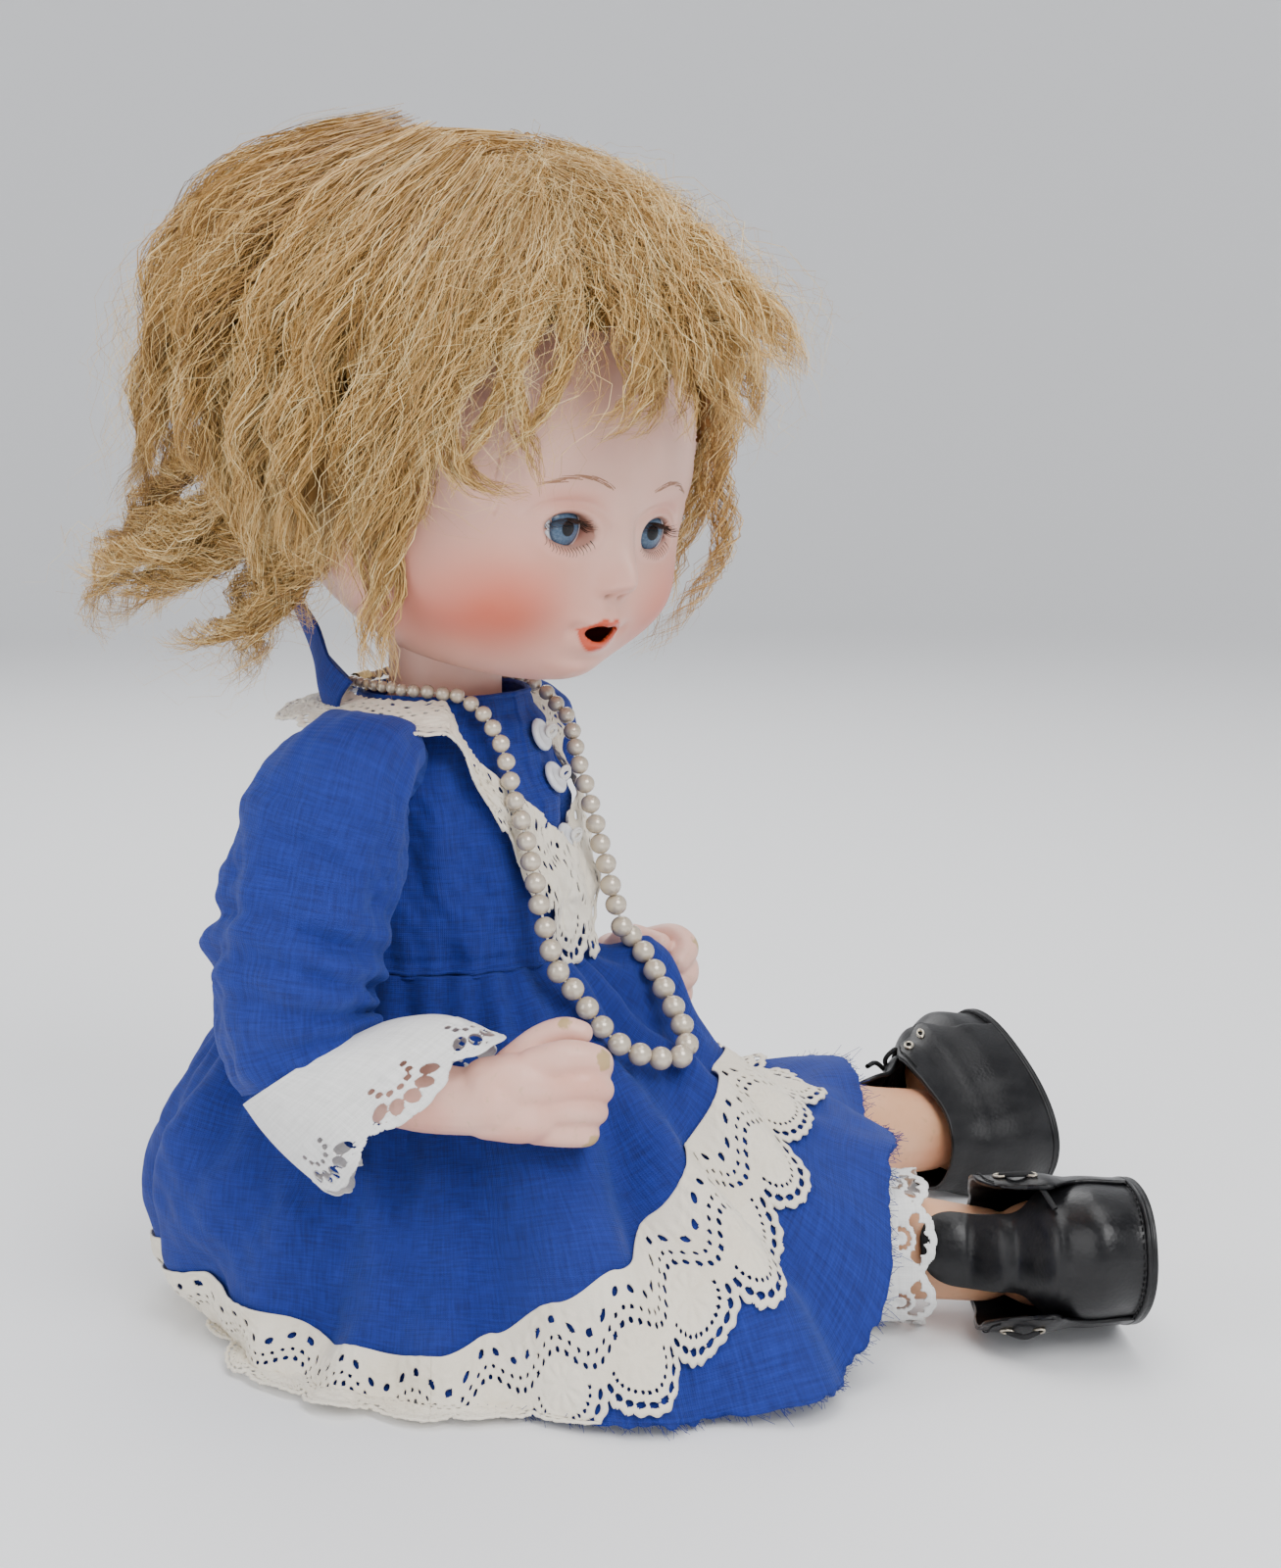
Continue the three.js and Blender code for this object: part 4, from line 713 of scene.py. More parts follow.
def painted_lashes(side, s, rng):
    parts = []
    for i in range(15):
        w = (i + 0.5) / 15 * 2 - 1
        x0 = s * EYE_X + 6.4 * w
        z0 = -13.4 - 3.8 * math.sqrt(max(0, 1 - w * w * 0.95))
        k = np.linspace(0, 1, 5)
        reach = rng.uniform(1.5, 2.2)
        parts.append(stroke(x0 + 0.55 * w * k * reach, z0 - k * reach, np.linspace(0.13, 0.05, 5)))
    points, quads = merge(parts)
    place(build(f"painted_lashes_{side}", points, quads, LASH), "head", "bisque")


def brow(side, s, rng):
    parts = []
    for i in range(44):
        t = i / 43
        x0 = s * mix(7.0, 22.5, t)
        z0 = mix(-2.2, -1.6, t) + 2.3 * math.sin(math.pi * min(1, t * 1.05)) ** 0.8 + rng.normal(0, 0.35)
        k = np.linspace(0, 1, 6)
        run = mix(2.2, 3.6, t)
        rise = mix(1.5, -0.9, t)
        parts.append(stroke(x0 + s * run * k, z0 + rise * k - 0.25 * k ** 2, np.linspace(0.13, 0.04, 6)))
    points, quads = merge(parts)
    place(build(f"brow_{side}", points, quads, BROW), "head", "bisque")


def stroke(x, z, half):
    """A brush stroke lying on the face."""
    mid = np.stack([x, z], 1)
    t = unit(np.gradient(mid, axis=0))
    n = np.stack([-t[:, 1], t[:, 0]], 1) * np.asarray(half)[:, None]
    rows = [mid - n, mid, mid + n]
    lift = (0.02, 0.07, 0.02)
    p = np.stack([on_face(r[:, 0], r[:, 1], k) for r, k in zip(rows, lift)], 1)
    return from_head(p).reshape(-1, 3), grid_faces(len(x), 3)


# ---------------------------------------------------------------- hair
def strands(guides, count, spread, seed, curl=1.6, pitch=15.0, frizz=0.5, points=24, tips=0.35,
        reach=(0.72, 1.0)):
    """Hairs that follow each guide lock: (hair, point, xyz) in mm and a tone for each hair."""
    rng = np.random.default_rng(seed)
    hairs, tones = [], []
    for guide in guides:
        g = curve(np.asarray(guide, float), 48)
        _, a, b = frames(g)
        length = np.linalg.norm(np.diff(g, axis=0), axis=1).sum()
        n = max(8, int(count * length / 90))
        r = np.sqrt(rng.uniform(0, 1, n)) * spread
        phi = rng.uniform(0, 2 * math.pi, n)
        start = rng.uniform(0.0, 0.12, n)
        stop = rng.uniform(*reach, n)
        lock_phase = rng.uniform(0, 2 * math.pi)
        clump = rng.integers(0, 6, n)
        phase = lock_phase + clump * 0.9 + rng.normal(0, 0.35, n)
        clump_at = rng.normal(0, spread * 0.55, (6, 2))
        k = np.linspace(0, 1, points)[None]
        s = start[:, None] + (stop - start)[:, None] * k
        x = s * 47
        i = np.clip(x.astype(int), 0, 46)
        f = (x - i)[..., None]
        base = g[i] * (1 - f) + g[i + 1] * f
        ea, eb = a[i] * (1 - f) + a[i + 1] * f, b[i] * (1 - f) + b[i + 1] * f
        shape = mix(0.9, 1.15, smooth(k * 2)) * mix(1.0, tips, smooth((s - 0.45) / 0.55))
        pull = smooth((s - 0.3) / 0.6) * 0.75
        oa = mix(r[:, None] * np.cos(phi)[:, None], clump_at[clump, 0][:, None], pull) * shape
        ob = mix(r[:, None] * np.sin(phi)[:, None], clump_at[clump, 1][:, None], pull) * shape
        wave = curl * smooth(s * 1.6)
        turn_at = 2 * math.pi * s * length / pitch + phase[:, None]
        oa = oa + wave * np.cos(turn_at)
        ob = ob + wave * np.sin(turn_at) * 0.7
        for _ in range(2):
            size = rng.uniform(4, 11, n)[:, None]
            oa = oa + frizz * smooth(s * 2) * np.cos(2 * math.pi * s * length / size
                + rng.uniform(0, 6.3, n)[:, None])
            ob = ob + frizz * smooth(s * 2) * np.sin(2 * math.pi * s * length / size
                + rng.uniform(0, 6.3, n)[:, None])
        hairs.append(base + ea * oa[..., None] + eb * ob[..., None])
        tones.append(np.clip(rng.normal(0.58, 0.23, n) + rng.normal(0, 0.08) + (clump - 2.5) * 0.03, 0, 1))
    return np.vstack(hairs), np.concatenate(tones)


def keep_off_skull(hairs, gap=1.6):
    """Pushes hair points out of the head."""
    p = to_head(hairs)
    middle = (0, SKULL_AT, 0)
    d = unit((p - middle) / (SKULL_X, SKULL_Y, (SKULL_UP + SKULL_DOWN) / 2))
    surface = skull_point(d, gap)
    inside = np.linalg.norm(p - middle, axis=-1) < np.linalg.norm(surface - middle, axis=-1)
    return from_head(np.where(inside[..., None], surface, p))


def hair_mesh(name, hairs, tones, width=0.13, *nodes):
    """Each hair is a thin folded ribbon, so that it shows from every side."""
    n, k = hairs.shape[:2]
    rng = np.random.default_rng(len(name))
    t = unit(np.gradient(hairs, axis=1))
    roll = unit(rng.normal(size=(n, 1, 3)))
    a = unit(np.cross(t, roll + 0 * t))
    b = np.cross(t, a)
    w = (width * np.clip(np.minimum(1, (1 - np.linspace(0, 1, k)) * 4 + 0.25), 0, 1))[None, :, None]
    rows = np.stack([hairs + a * w, hairs + b * w * 0.8, hairs - a * w], 2)
    one = grid_faces(k, 3)
    faces = (one[None] + (np.arange(n) * k * 3)[:, None, None]).reshape(-1, 4)
    along = np.broadcast_to(np.linspace(0, 1, k)[None, :, None], (n, k, 3))
    tone = np.broadcast_to(tones[:, None, None], (n, k, 3))
    ob = build(name, rows.reshape(-1, 3), faces, HAIR, values={"tone": tone, "along": along})
    return place(ob, "head", "mohair", *nodes)


def skull_guides(starts, angles, down, grows, swirl=0.0, seed=5):
    """Locks combed from the crown down the skull in the directions given (degrees from the face)."""
    rng = np.random.default_rng(seed)
    out = []
    for a0 in angles:
        rows = []
        a0 = a0 + rng.uniform(-4, 4)
        top = starts + rng.uniform(-6, 6)
        low = down + rng.uniform(-10, 8)
        for k in np.linspace(0, 1, 6):
            lat = math.radians(mix(top, low, k))
            a = math.radians(a0 + swirl * k + rng.uniform(-5, 5) * k)
            d = np.array([math.cos(lat) * math.sin(a), -math.cos(lat) * math.cos(a), math.sin(lat)])
            grow = np.interp(k, np.linspace(0, 1, len(grows)), grows) + rng.uniform(-1.5, 1.5)
            rows.append(from_head(skull_point(d, grow)))
        out.append(rows)
    return out


TAIL = [
    [(-40, -11, 260), (-42, 9, 236), (-34, 38, 219), (-26, 65, 207), (-22, 85, 196), (-20, 92, 186),
        (-20, 84, 180)],
    [(-44, -8, 253), (-44, 11, 229), (-36, 31, 212), (-28, 56, 199), (-22, 77, 191), (-18, 90, 181)],
    [(-48, -7, 244), (-46, 7, 220), (-42, 23, 200), (-38, 33, 182), (-34, 43, 168)],
    [(-50, -5, 239), (-46, 6, 215), (-40, 21, 198), (-34, 43, 184), (-30, 65, 179)],
    [(-30, -2, 262), (-24, 29, 243), (-16, 61, 228), (-8, 84, 209), (0, 101, 196), (4, 105, 188)],
    [(-20, 9, 253), (-10, 39, 230), (0, 67, 206), (6, 84, 192), (10, 93, 180)],
    [(-30, 9, 234), (-24, 29, 209), (-20, 45, 193), (-16, 48, 179), (-14, 44, 170)],
    [(-44, 20, 236), (-38, 44, 216), (-32, 62, 206), (-28, 80, 201), (-24, 94, 196)],
]
SIDE = [
    [(-20, -6, 303), (-42, 10, 292), (-56, 24, 276), (-60, 33, 258), (-58, 38, 237), (-54, 33, 215)],
    [(-24, -13, 302), (-50, -1, 287), (-62, 9, 267), (-62, 19, 244), (-58, 25, 223), (-54, 22, 204)],
    [(-26, -19, 300), (-54, -13, 282), (-66, -3, 260), (-66, 5, 237), (-60, 11, 216), (-54, 8, 199)],
    [(-28, -25, 297), (-58, -22, 275), (-68, -17, 253), (-66, -8, 230), (-60, -2, 212), (-54, -2, 196)],
    [(-28, -30, 295), (-58, -30, 271), (-66, -26, 249), (-64, -17, 228), (-58, -10, 207), (-54, -6, 188),
        (-52, -8, 173)],
    [(0, 6, 307), (-20, 29, 296), (-34, 44, 279), (-40, 54, 258), (-40, 59, 233), (-40, 55, 219)],
    [(10, 13, 308), (0, 42, 300), (-10, 62, 283), (-16, 70, 260), (-18, 74, 235), (-18, 81, 212)],
]
TEMPLE = [
    [(-28, -37, 292), (-54, -38, 273), (-64, -33, 255), (-64, -27, 240), (-62, -31, 226), (-58, -44, 219)],
    [(-28, -40, 290), (-54, -43, 269), (-62, -36, 251), (-62, -30, 237), (-60, -35, 224), (-54, -49, 220)],
    [(-28, -42, 290), (-52, -47, 269), (-58, -44, 253), (-56, -46, 237), (-52, -48, 226), (-50, -49, 220)],
    [(-28, -35, 292), (-56, -35, 273), (-66, -28, 255), (-66, -22, 237), (-60, -20, 221), (-56, -23, 212)],
    [(-28, -44, 290), (-48, -55, 272), (-53, -57, 258), (-53, -54, 246), (-54, -48, 236), (-56, -40, 228)],
    [(-27, -43, 291), (-50, -50, 272), (-58, -48, 256), (-59, -42, 242), (-60, -35, 230), (-59, -29, 219)],
]
FRINGE = [
    [(-20, -39, 297), (-34, -64, 288), (-40, -83, 275), (-40, -98, 264), (-38, -105, 253), (-36, -108, 247)],
    [(-24, -38, 295), (-40, -67, 282), (-46, -85, 268), (-44, -98, 256), (-42, -103, 244)],
    [(-26, -42, 290), (-44, -68, 275), (-50, -84, 260), (-48, -93, 244), (-44, -99, 233)],
    [(-26, -42, 290), (-46, -66, 273), (-52, -80, 255), (-50, -84, 242), (-46, -81, 233)],
    [(-26, -41, 288), (-48, -65, 271), (-54, -74, 255), (-54, -72, 242), (-54, -62, 233)],
    [(-20, -42, 290), (-30, -65, 280), (-30, -85, 267), (-26, -96, 255), (-22, -102, 250)],
    [(-10, -40, 293), (-14, -65, 283), (-12, -84, 269), (-8, -95, 258), (-4, -99, 245)],
    [(-6, -41, 291), (-8, -65, 276), (-4, -79, 260), (0, -87, 243), (2, -85, 230)],
    [(-12, -38, 294), (-22, -60, 284), (-32, -78, 270), (-38, -88, 254), (-36, -92, 240)],
    [(-4, -36, 294), (-12, -60, 284), (-22, -77, 270), (-30, -86, 256), (-34, -90, 246)],
    [(-16, -45, 290), (-24, -68, 274), (-24, -81, 255), (-20, -85, 239), (-16, -82, 229)],
    [(-22, -45, 285), (-40, -67, 269), (-46, -76, 253), (-44, -74, 240), (-44, -66, 235)],
]
FAR = [
    [(10, -48, 284), (24, -65, 263), (30, -69, 240), (32, -66, 222), (32, -68, 206), (30, -61, 192),
        (28, -55, 179)],
    [(12, -48, 282), (28, -62, 258), (34, -65, 235), (34, -63, 217), (33, -66, 202), (30, -58, 189),
        (26, -47, 173)],
    [(16, -44, 282), (36, -57, 258), (42, -56, 232), (40, -52, 212), (36, -50, 193), (28, -41, 172)],
]


def locks(name, guides, count, spread, seed, width=0.13, nodes=(), **style):
    hairs, tones = strands(guides, count, spread, seed, **style)
    hair_mesh(name, keep_off_skull(hairs), tones, width, *nodes)


def wig():
    locks("wig_tail", TAIL, 170, 4.2, 1, nodes=("wig_hair",), curl=3.4, pitch=23, frizz=0.6, tips=0.55)
    locks("wig_near_side", SIDE, 330, 8.8, 2, curl=3.0, pitch=31, frizz=0.55)
    locks("wig_temple", TEMPLE, 130, 3.4, 3, curl=1.7, pitch=26, frizz=0.35)
    locks("wig_fringe", FRINGE, 180, 4.9, 4, curl=2.5, pitch=26, frizz=0.45, tips=0.45)
    locks("wig_far_wisps", FAR, 42, 2.4, 5, 0.11, curl=2.6, pitch=19, frizz=0.45, tips=0.8)
    guides = skull_guides(86, range(-175, -92, 12), -32, (12, 15, 13, 11, 9), 12, 6)
    guides += skull_guides(84, range(-90, -58, 11), 6, (10, 12, 10, 7), -14, 16)
    guides += skull_guides(86, range(84, 184, 12), -32, (12, 17, 17, 14, 11), -10, 7)
    guides += skull_guides(84, range(48, 82, 11), 8, (10, 12, 10, 7), 12, 17)
    guides += skull_guides(80, [a for a in range(-160, 170, 24) if abs(a) > 100], -44, (8, 10, 12, 12, 12),
        8, 8)
    locks("wig_crown_and_back", guides, 210, 8.3, 9, curl=2.9, pitch=31, frizz=0.55)
    guides = skull_guides(84, range(-60, 75, 11), 35, (10, 12, 11), 0, 10)
    locks("wig_top", guides, 190, 6.5, 11, curl=1.8, pitch=26, frizz=0.45)
    rng = np.random.default_rng(12)
    flown = []
    for guide in SIDE + FRINGE + TAIL + TEMPLE + guides:
        g = np.asarray(guide, float)
        centre = np.array([-6, -8, 238.0])
        for _ in range(5):
            away = unit(g - centre) * rng.uniform(2, 11) * np.linspace(0.4, 1, len(g))[:, None]
            flown.append(g + away + rng.normal(0, 2.5, g.shape))
    hairs, tones = strands(flown, 9, 5.0, 13, curl=3.2, pitch=34, frizz=1.3, tips=1.4, reach=(0.5, 1.0))
    hair_mesh("wig_flyaways", keep_off_skull(hairs), np.clip(tones + 0.2, 0, 1), 0.055)


def hair_mass():
    """Felted hair close to the cap, which fills between the locks; its colour is darkened as painted shade,
    most at the front parting.
    """
    nu, nv = 220, 120
    a, lat = np.meshgrid(np.linspace(-math.pi, math.pi, nu, endpoint=False),
        np.linspace(-0.62, math.pi / 2 - 0.02, nv), indexing="ij")
    d = np.stack([np.cos(lat) * np.sin(a), -np.cos(lat) * np.cos(a), np.sin(lat)], -1)
    ridge = 0.7 * np.cos(46 * a + 5 * np.sin(6 * lat)) + 0.5 * np.cos(83 * a - 9 * lat)
    p = skull_point(d, 5.5 + 3 * smooth(d[..., 1]) + ridge)
    side = np.degrees(np.abs(a))
    line = np.interp(side, [0, 35, 62, 80, 100, 180], [0.60, 0.56, 0.12, -0.26, -0.42, -0.45])
    faces = grid_faces(nu, nv, wrap_u=True)
    keep = (lat - line).ravel()[faces].min(1) > 0
    # A lower tone than the locks, lowest at the front: painted shade under the locks and at the parting. The
    # waves vary it at random, and the fixed along value adds the painted root shade.
    tone = 0.30 - 0.24 * bell(a / 1.1) + 0.1 * waves(np.stack([a * 60, lat * 6], -1), 5, 4)
    ob = build("wig_felt", from_head(p), faces[keep], HAIR, values={"tone": tone, "along": 0.25 + 0 * tone})
    place(ob, "head", "mohair")


head_shell()
neck_shell()
ear("right")
ear("left")
eyes()
hair_mass()
wig()


# ---------------------------------------------------------------- lace
def arc_holes(rho, phi, at, step_deg, along, across, limit):
    """Distance outside a row of oval holes on an arc, mm."""
    step = math.radians(step_deg)
    near = np.round(phi / step) * step
    t = (phi - near) * rho
    d = (np.hypot(t / along, (rho - at) / across) - 1) * min(along, across)
    return np.where(np.abs(near) <= math.radians(limit), d, 9.0)


def row_holes(u, v, pitch, shift, along, across):
    t = (u - shift + pitch / 2) % pitch - pitch / 2
    return (np.hypot(t / along, v / across) - 1) * min(along, across)


def cutwork(u, v, width, pitch=22.0):
    """Cream lace: distance into cloth, below 0 in a hole, and the height of its stitching, mm."""
    r = pitch * 0.56
    x = (u + pitch / 2) % pitch - pitch / 2
    y = v - (width - r)
    rho, phi = np.hypot(x, y), np.arctan2(x, y)
    edge = np.where(y > 0, r - rho + 0.28 * np.cos(phi * 20), 9.0)
    edge = np.where(np.abs(phi) < 1.9, edge, np.where(y > -2, r - rho, 9.0))
    big = arc_holes(rho, phi, r - 1.95, 17.5, 1.15, 0.68, 76)
    small = arc_holes(rho, phi, r - 4.35, 13.5, 0.47, 0.47, 84)
    zig = v - (width - r - 4.6 - 2.4 * np.cos(2 * math.pi * u / pitch))
    third = row_holes(u, zig, 2.2, 0, 0.62, 0.7)
    fourth = row_holes(u, zig + 2.6, 2.2, 1.1, 0.5, 0.55)
    fifth = row_holes(u, zig + 6.4, 4.4, 0, 0.95, 0.95)
    holes = np.minimum.reduce([big, small, third, fourth, fifth])
    fabric = np.minimum(edge, holes)
    petals = (0.5 + 0.5 * np.cos(phi * 9)) * smooth((rho - 1.0) / 1.5)
    petals = petals * smooth((r - 5.4 - rho) / 1.2) * (y > -4)
    height = 0.30 * bell(holes / 0.45 - 0.6) + 0.45 * bell((edge - 0.55) / 0.5) + 0.5 * petals
    height = height + 0.22 * bell((zig + 9.6) / 0.6) + 0.16 * np.cos(u * 1.9) * bell((zig + 9.0) / 2.0)
    return fabric, height


def broderie(u, v, width, pitch=19.0):
    """White eyelet edging: big ovals, rings of small holes and a satin-stitched edge."""
    x = (u + pitch / 2) % pitch - pitch / 2
    r = pitch * 0.62
    y = v - (width - r)
    rho, phi = np.hypot(x, y), np.arctan2(x, y)
    edge = r - rho + 0.5 * np.abs(np.cos(phi * 7)) - 0.3
    edge = np.where(y > -1, edge, 9.0)
    ovals = arc_holes(rho, phi, r - 4.3, 24, 1.35, 2.0, 60)
    ring = arc_holes(rho, phi, r - 8.2, 33, 0.72, 0.72, 120)
    pins = arc_holes(rho, phi, r - 1.9, 7.5, 0.2, 0.2, 62)
    holes = np.minimum.reduce([ovals, ring, pins])
    dot = np.hypot(x / 1.3, (y + 1.0) / 2.3)
    height = 0.24 * bell(holes / 0.4 - 0.6) + 0.35 * bell((edge - 0.5) / 0.5) + 0.5 * smooth(1.3 - dot)
    return np.minimum(edge, holes), height


def lace(name, length, width, cell, pattern, surface, paint, thick=0.45, wrap=False):
    """Lace with its holes cut: surface(u, v) gives points in mm, the pattern says where cloth is."""
    nu, nv = int(length / cell), int(width / cell)
    u, v = np.meshgrid(np.linspace(0, length, nu, endpoint=not wrap), np.linspace(0, width, nv),
        indexing="ij")
    height = lambda a, b: pattern(a, b, width)[0]
    u, v = snap_to_edge(u, v, height, cell)
    fabric, relief = pattern(u, v, width)
    p = surface(u, v)
    n = grid_normals(p, wrap)
    p = p + n * relief[..., None]
    p[..., 2] = np.maximum(p[..., 2], 0.5)
    faces = grid_faces(nu, nv, wrap_u=wrap)
    f = fabric.ravel()[faces]
    faces = faces[(f.mean(1) > 0.0) & (f.min(1) > -0.3 * cell)]
    ob = build(name, p, faces, paint, uv=np.stack([u, v], -1))
    return thicken(ob, thick)


# ---------------------------------------------------------------- dress
GATHERS = 30


def skirt_surface(angle, s, grow=0.0):
    """The skirt by direction (degrees from the front) and way down it; past 1 it lies on the floor."""
    wrapped = (angle + 180) % 360 - 180
    hem_r, hem_z, mid_r, mid_z = np.moveaxis(table(SKIRT, wrapped), -1, 0)
    a = np.radians(angle)
    waist = 38 - np.cos(a) ** 2

    def at(t):
        t = np.clip(t, 0, 1)
        w = 1 - t
        out = w * w * waist + 2 * w * t * mid_r + t * t * hem_r
        return out, w * w * WAIST_Z + 2 * w * t * mid_z + t * t * hem_z

    near = np.clip(s, 0.02, 0.98)
    (r0, z0), (r1, z1), (r, z) = at(near - 0.02), at(near + 0.02), at(s)
    long = np.hypot(r1 - r0, z1 - z0)
    nr, nz = -(z1 - z0) / long, (r1 - r0) / long
    place_in = np.stack([np.sin(a) * 60, -np.cos(a) * 60, s * 95], -1)
    gather = np.cos(a * GATHERS + 0.9 * np.sin(3 * a) + 0.5 * np.sin(7 * a))
    gather = gather * (0.35 + 0.65 * smooth(s * 3)) * bell(s / 0.42)
    drape = 2.9 * smooth(s * 1.8) * np.cos(a * 16 + 1.3 * np.sin(2 * a + s * 1.2))
    drape = drape * (0.55 + 0.45 * np.cos(5 * a + 2 * s))
    lumps = 2.1 * waves(place_in, 46, 21) + waves(place_in * (1, 1, 0.45), 20, 22)
    lumps = lumps + 0.22 * waves(place_in, 8, 23)
    drag = 1.3 * smooth(s * 2) * smooth((1.1 - s) * 4)
    drag = drag * waves(np.stack([a * 40 + s * 30, s * 26 - a * 6], -1), 17, 24)
    out = grow + 1.9 * gather + drape + (lumps + drag) * smooth(s * 3) * smooth((1.12 - s) * 3.5)
    r, z = r + nr * out, z + nz * out
    z = z + 17 * bell((wrapped - 25) / 15) * bell((s - 0.33) / 0.2)
    past = np.clip(s - 1, 0, None) * 62
    r, z = r + past, np.maximum(z, 0.5 + grow)
    return np.stack([r * np.sin(a), -r * np.cos(a), z], -1)


def hem_end(angle):
    """How far down the raw hem runs: ragged, and longer where the cloth lies on the floor."""
    a = np.radians(angle)
    ring = np.stack([np.sin(a), np.cos(a)], -1) * 80
    return 1.0 + 0.012 * waves(ring, 24, 40) + 0.004 * waves(ring, 3, 41)


def skirt():
    nu, nv = 720, 170
    a, k = np.meshgrid(np.linspace(-180, 180, nu, endpoint=False), np.linspace(0, 1, nv), indexing="ij")
    s = k * hem_end(a)
    p = skirt_surface(a, s)
    uv = np.stack([np.radians(a) * 88, s * 112], -1)
    ob = build("blue_skirt", p, grid_faces(nu, nv, wrap_u=True), BLUE, uv=uv)
    place(thicken(ob, CLOTH), "torso", "cotton", "dress_skirt")


def frayed_hem():
    """Loose threads along the raw edge, in front and at the sides."""
    rng = np.random.default_rng(77)
    parts = []
    for _ in range(900):
        angle = rng.uniform(-62, 96)
        root = skirt_surface(np.array(angle), hem_end(np.array(angle)) - 0.004)
        out = unit(np.array([math.sin(math.radians(angle)), -math.cos(math.radians(angle)),
            rng.normal(-0.2, 0.5)]))
        bend = rng.normal(0, 0.8, 3)
        long = rng.uniform(0.6, 2.6) * (1 + 2 * (rng.uniform() > 0.96))
        line = np.array([root, root + out * long * 0.5 + bend * 0.4, root + out * long + bend])
        line[:, 2] = np.maximum(line[:, 2], 0.15)
        parts.append(tube(curve(line, 5), 0.07, 3))
    points, quads = merge(parts)
    uv = np.zeros((len(points), 2))
    place(build("frayed_hem", points, quads, BLUE, uv=uv), "torso", "cotton")


# direction from the front in degrees, and how far down the skirt the lace begins
BAND_TOP = [
    (-180, 0.80), (-130, 0.80), (-105, 0.84), (-88, 0.89), (-68, 0.90), (-57, 0.84), (-48, 0.77),
    (-40, 0.71), (-28, 0.61), (-15, 0.52), (0, 0.53), (15, 0.56), (50, 0.60), (75, 0.64), (95, 0.76),
    (140, 0.80), (180, 0.80),
]


def skirt_band():
    width = 28.0
    angles = np.linspace(-180, 180, 721)
    top = table(BAND_TOP, angles)[:, 0]
    ring = skirt_surface(angles, top + 0.15)
    run = np.r_[0, np.cumsum(np.linalg.norm(np.diff(ring, axis=0), axis=1))]
    pitch = 20.0
    repeats = round(run[-1] / pitch)

    def surface(u, v):
        angle = np.interp(u, run * (repeats * pitch / run[-1]), angles)
        s0 = np.interp(angle, angles, top)
        s = s0 + v / 104
        lift = 1.35 + 0.25 * np.clip(waves(np.stack([u, v], -1), 13, 51), -1, 1.5)
        return skirt_surface(angle, s, lift)

    total = repeats * pitch
    count = 4
    for i in range(count):
        share = total / count
        part = lambda u, v, i=i: surface(u + i * share, v)
        pattern = lambda u, v, w, i=i: cutwork(u + i * share, v, w, pitch)
        ob = lace(f"skirt_lace_{i + 1}", share, width, 0.42, pattern, part, LACE)
        place(ob, "torso", "lace", *(("skirt_lace_band",) if i == 0 else ()))


def bodice_surface(angle, z, grow=0.0):
    """Blue bodice: darts and drag folds over the torso, pulled in at the high waist."""
    a = np.radians(angle)
    q = np.stack([np.sin(a) * 34, -np.cos(a) * 34, z], -1)
    pull = waves(q * (1, 1, 0.35), 15, 61) * 0.55 + waves(q, 30, 62) * 0.6 + 0.16 * waves(q, 6, 63)
    gathered = 0.5 * np.cos(a * 26 + 0.8 * np.sin(4 * a)) * bell((z - 99) / 7)
    placket = 0.55 * smooth((8.2 - np.abs(np.sin(a) * 36)) / 0.9) * (np.cos(a) > 0)
    placket = placket + 1.1 * smooth((6.5 - np.abs(np.sin(a) * 34 + 1.5)) / 0.6) * (np.cos(a) < 0)
    neck = smooth((z - 158) / 6)
    return torso_point(angle, z, 2.2 + grow + (pull + gathered) * (1 - 0.7 * neck) + placket
        - 0.3 * bell((z - 101.5) / 1.0))


def bodice():
    nu, nv = 420, 190
    a, z = np.meshgrid(np.linspace(-180, 180, nu, endpoint=False), np.linspace(166.4, 97.0, nv),
        indexing="ij")
    p = bodice_surface(a, z)
    uv = np.stack([np.radians(a) * 36, z], -1)
    ob = build("blue_bodice", p, grid_faces(nu, nv, wrap_u=True), BLUE, uv=uv)
    place(thicken(ob, CLOTH), "torso", "cotton", "dress_bodice")
    ring = np.linspace(-180, 180, 240, endpoint=False)
    for name, z0, grow, r in (("neck_binding", 166.2, 0.3, 0.75), ("waist_seam", 98.6, 0.4, 0.6)):
        p = bodice_surface(ring, np.full(240, z0), grow)
        t = unit(np.roll(p, -1, 0) - np.roll(p, 1, 0))
        up = np.array([0, 0, 1.0])
        side = unit(np.cross(t, up))
        ang = around(8)
        pts = p[:, None] + r * (np.cos(ang)[None, :, None] * side[:, None] + np.sin(ang)[None, :, None] * up)
        uv = np.stack(np.meshgrid(np.linspace(0, 220, 240), np.linspace(0, 4, 8), indexing="ij"), -1)
        place(build(name, pts, grid_faces(240, 8, wrap_u=True, wrap_v=True), BLUE, uv=uv), "torso", "cotton")


def back_tape():
    """Closing tape stitched inside the back opening."""
    x, z = np.meshgrid(np.linspace(-7, 4, 14), np.linspace(100, 160, 60), indexing="ij")
    angle = 180 - np.degrees(np.arcsin(x / 34))
    p = torso_point(angle, z, 0.9)
    ob = build("closing_tape", p, grid_faces(14, 60), CORD, uv=np.stack([x, z], -1))
    place(thicken(ob, 0.5), "torso", "tape", "back_closure_tape")


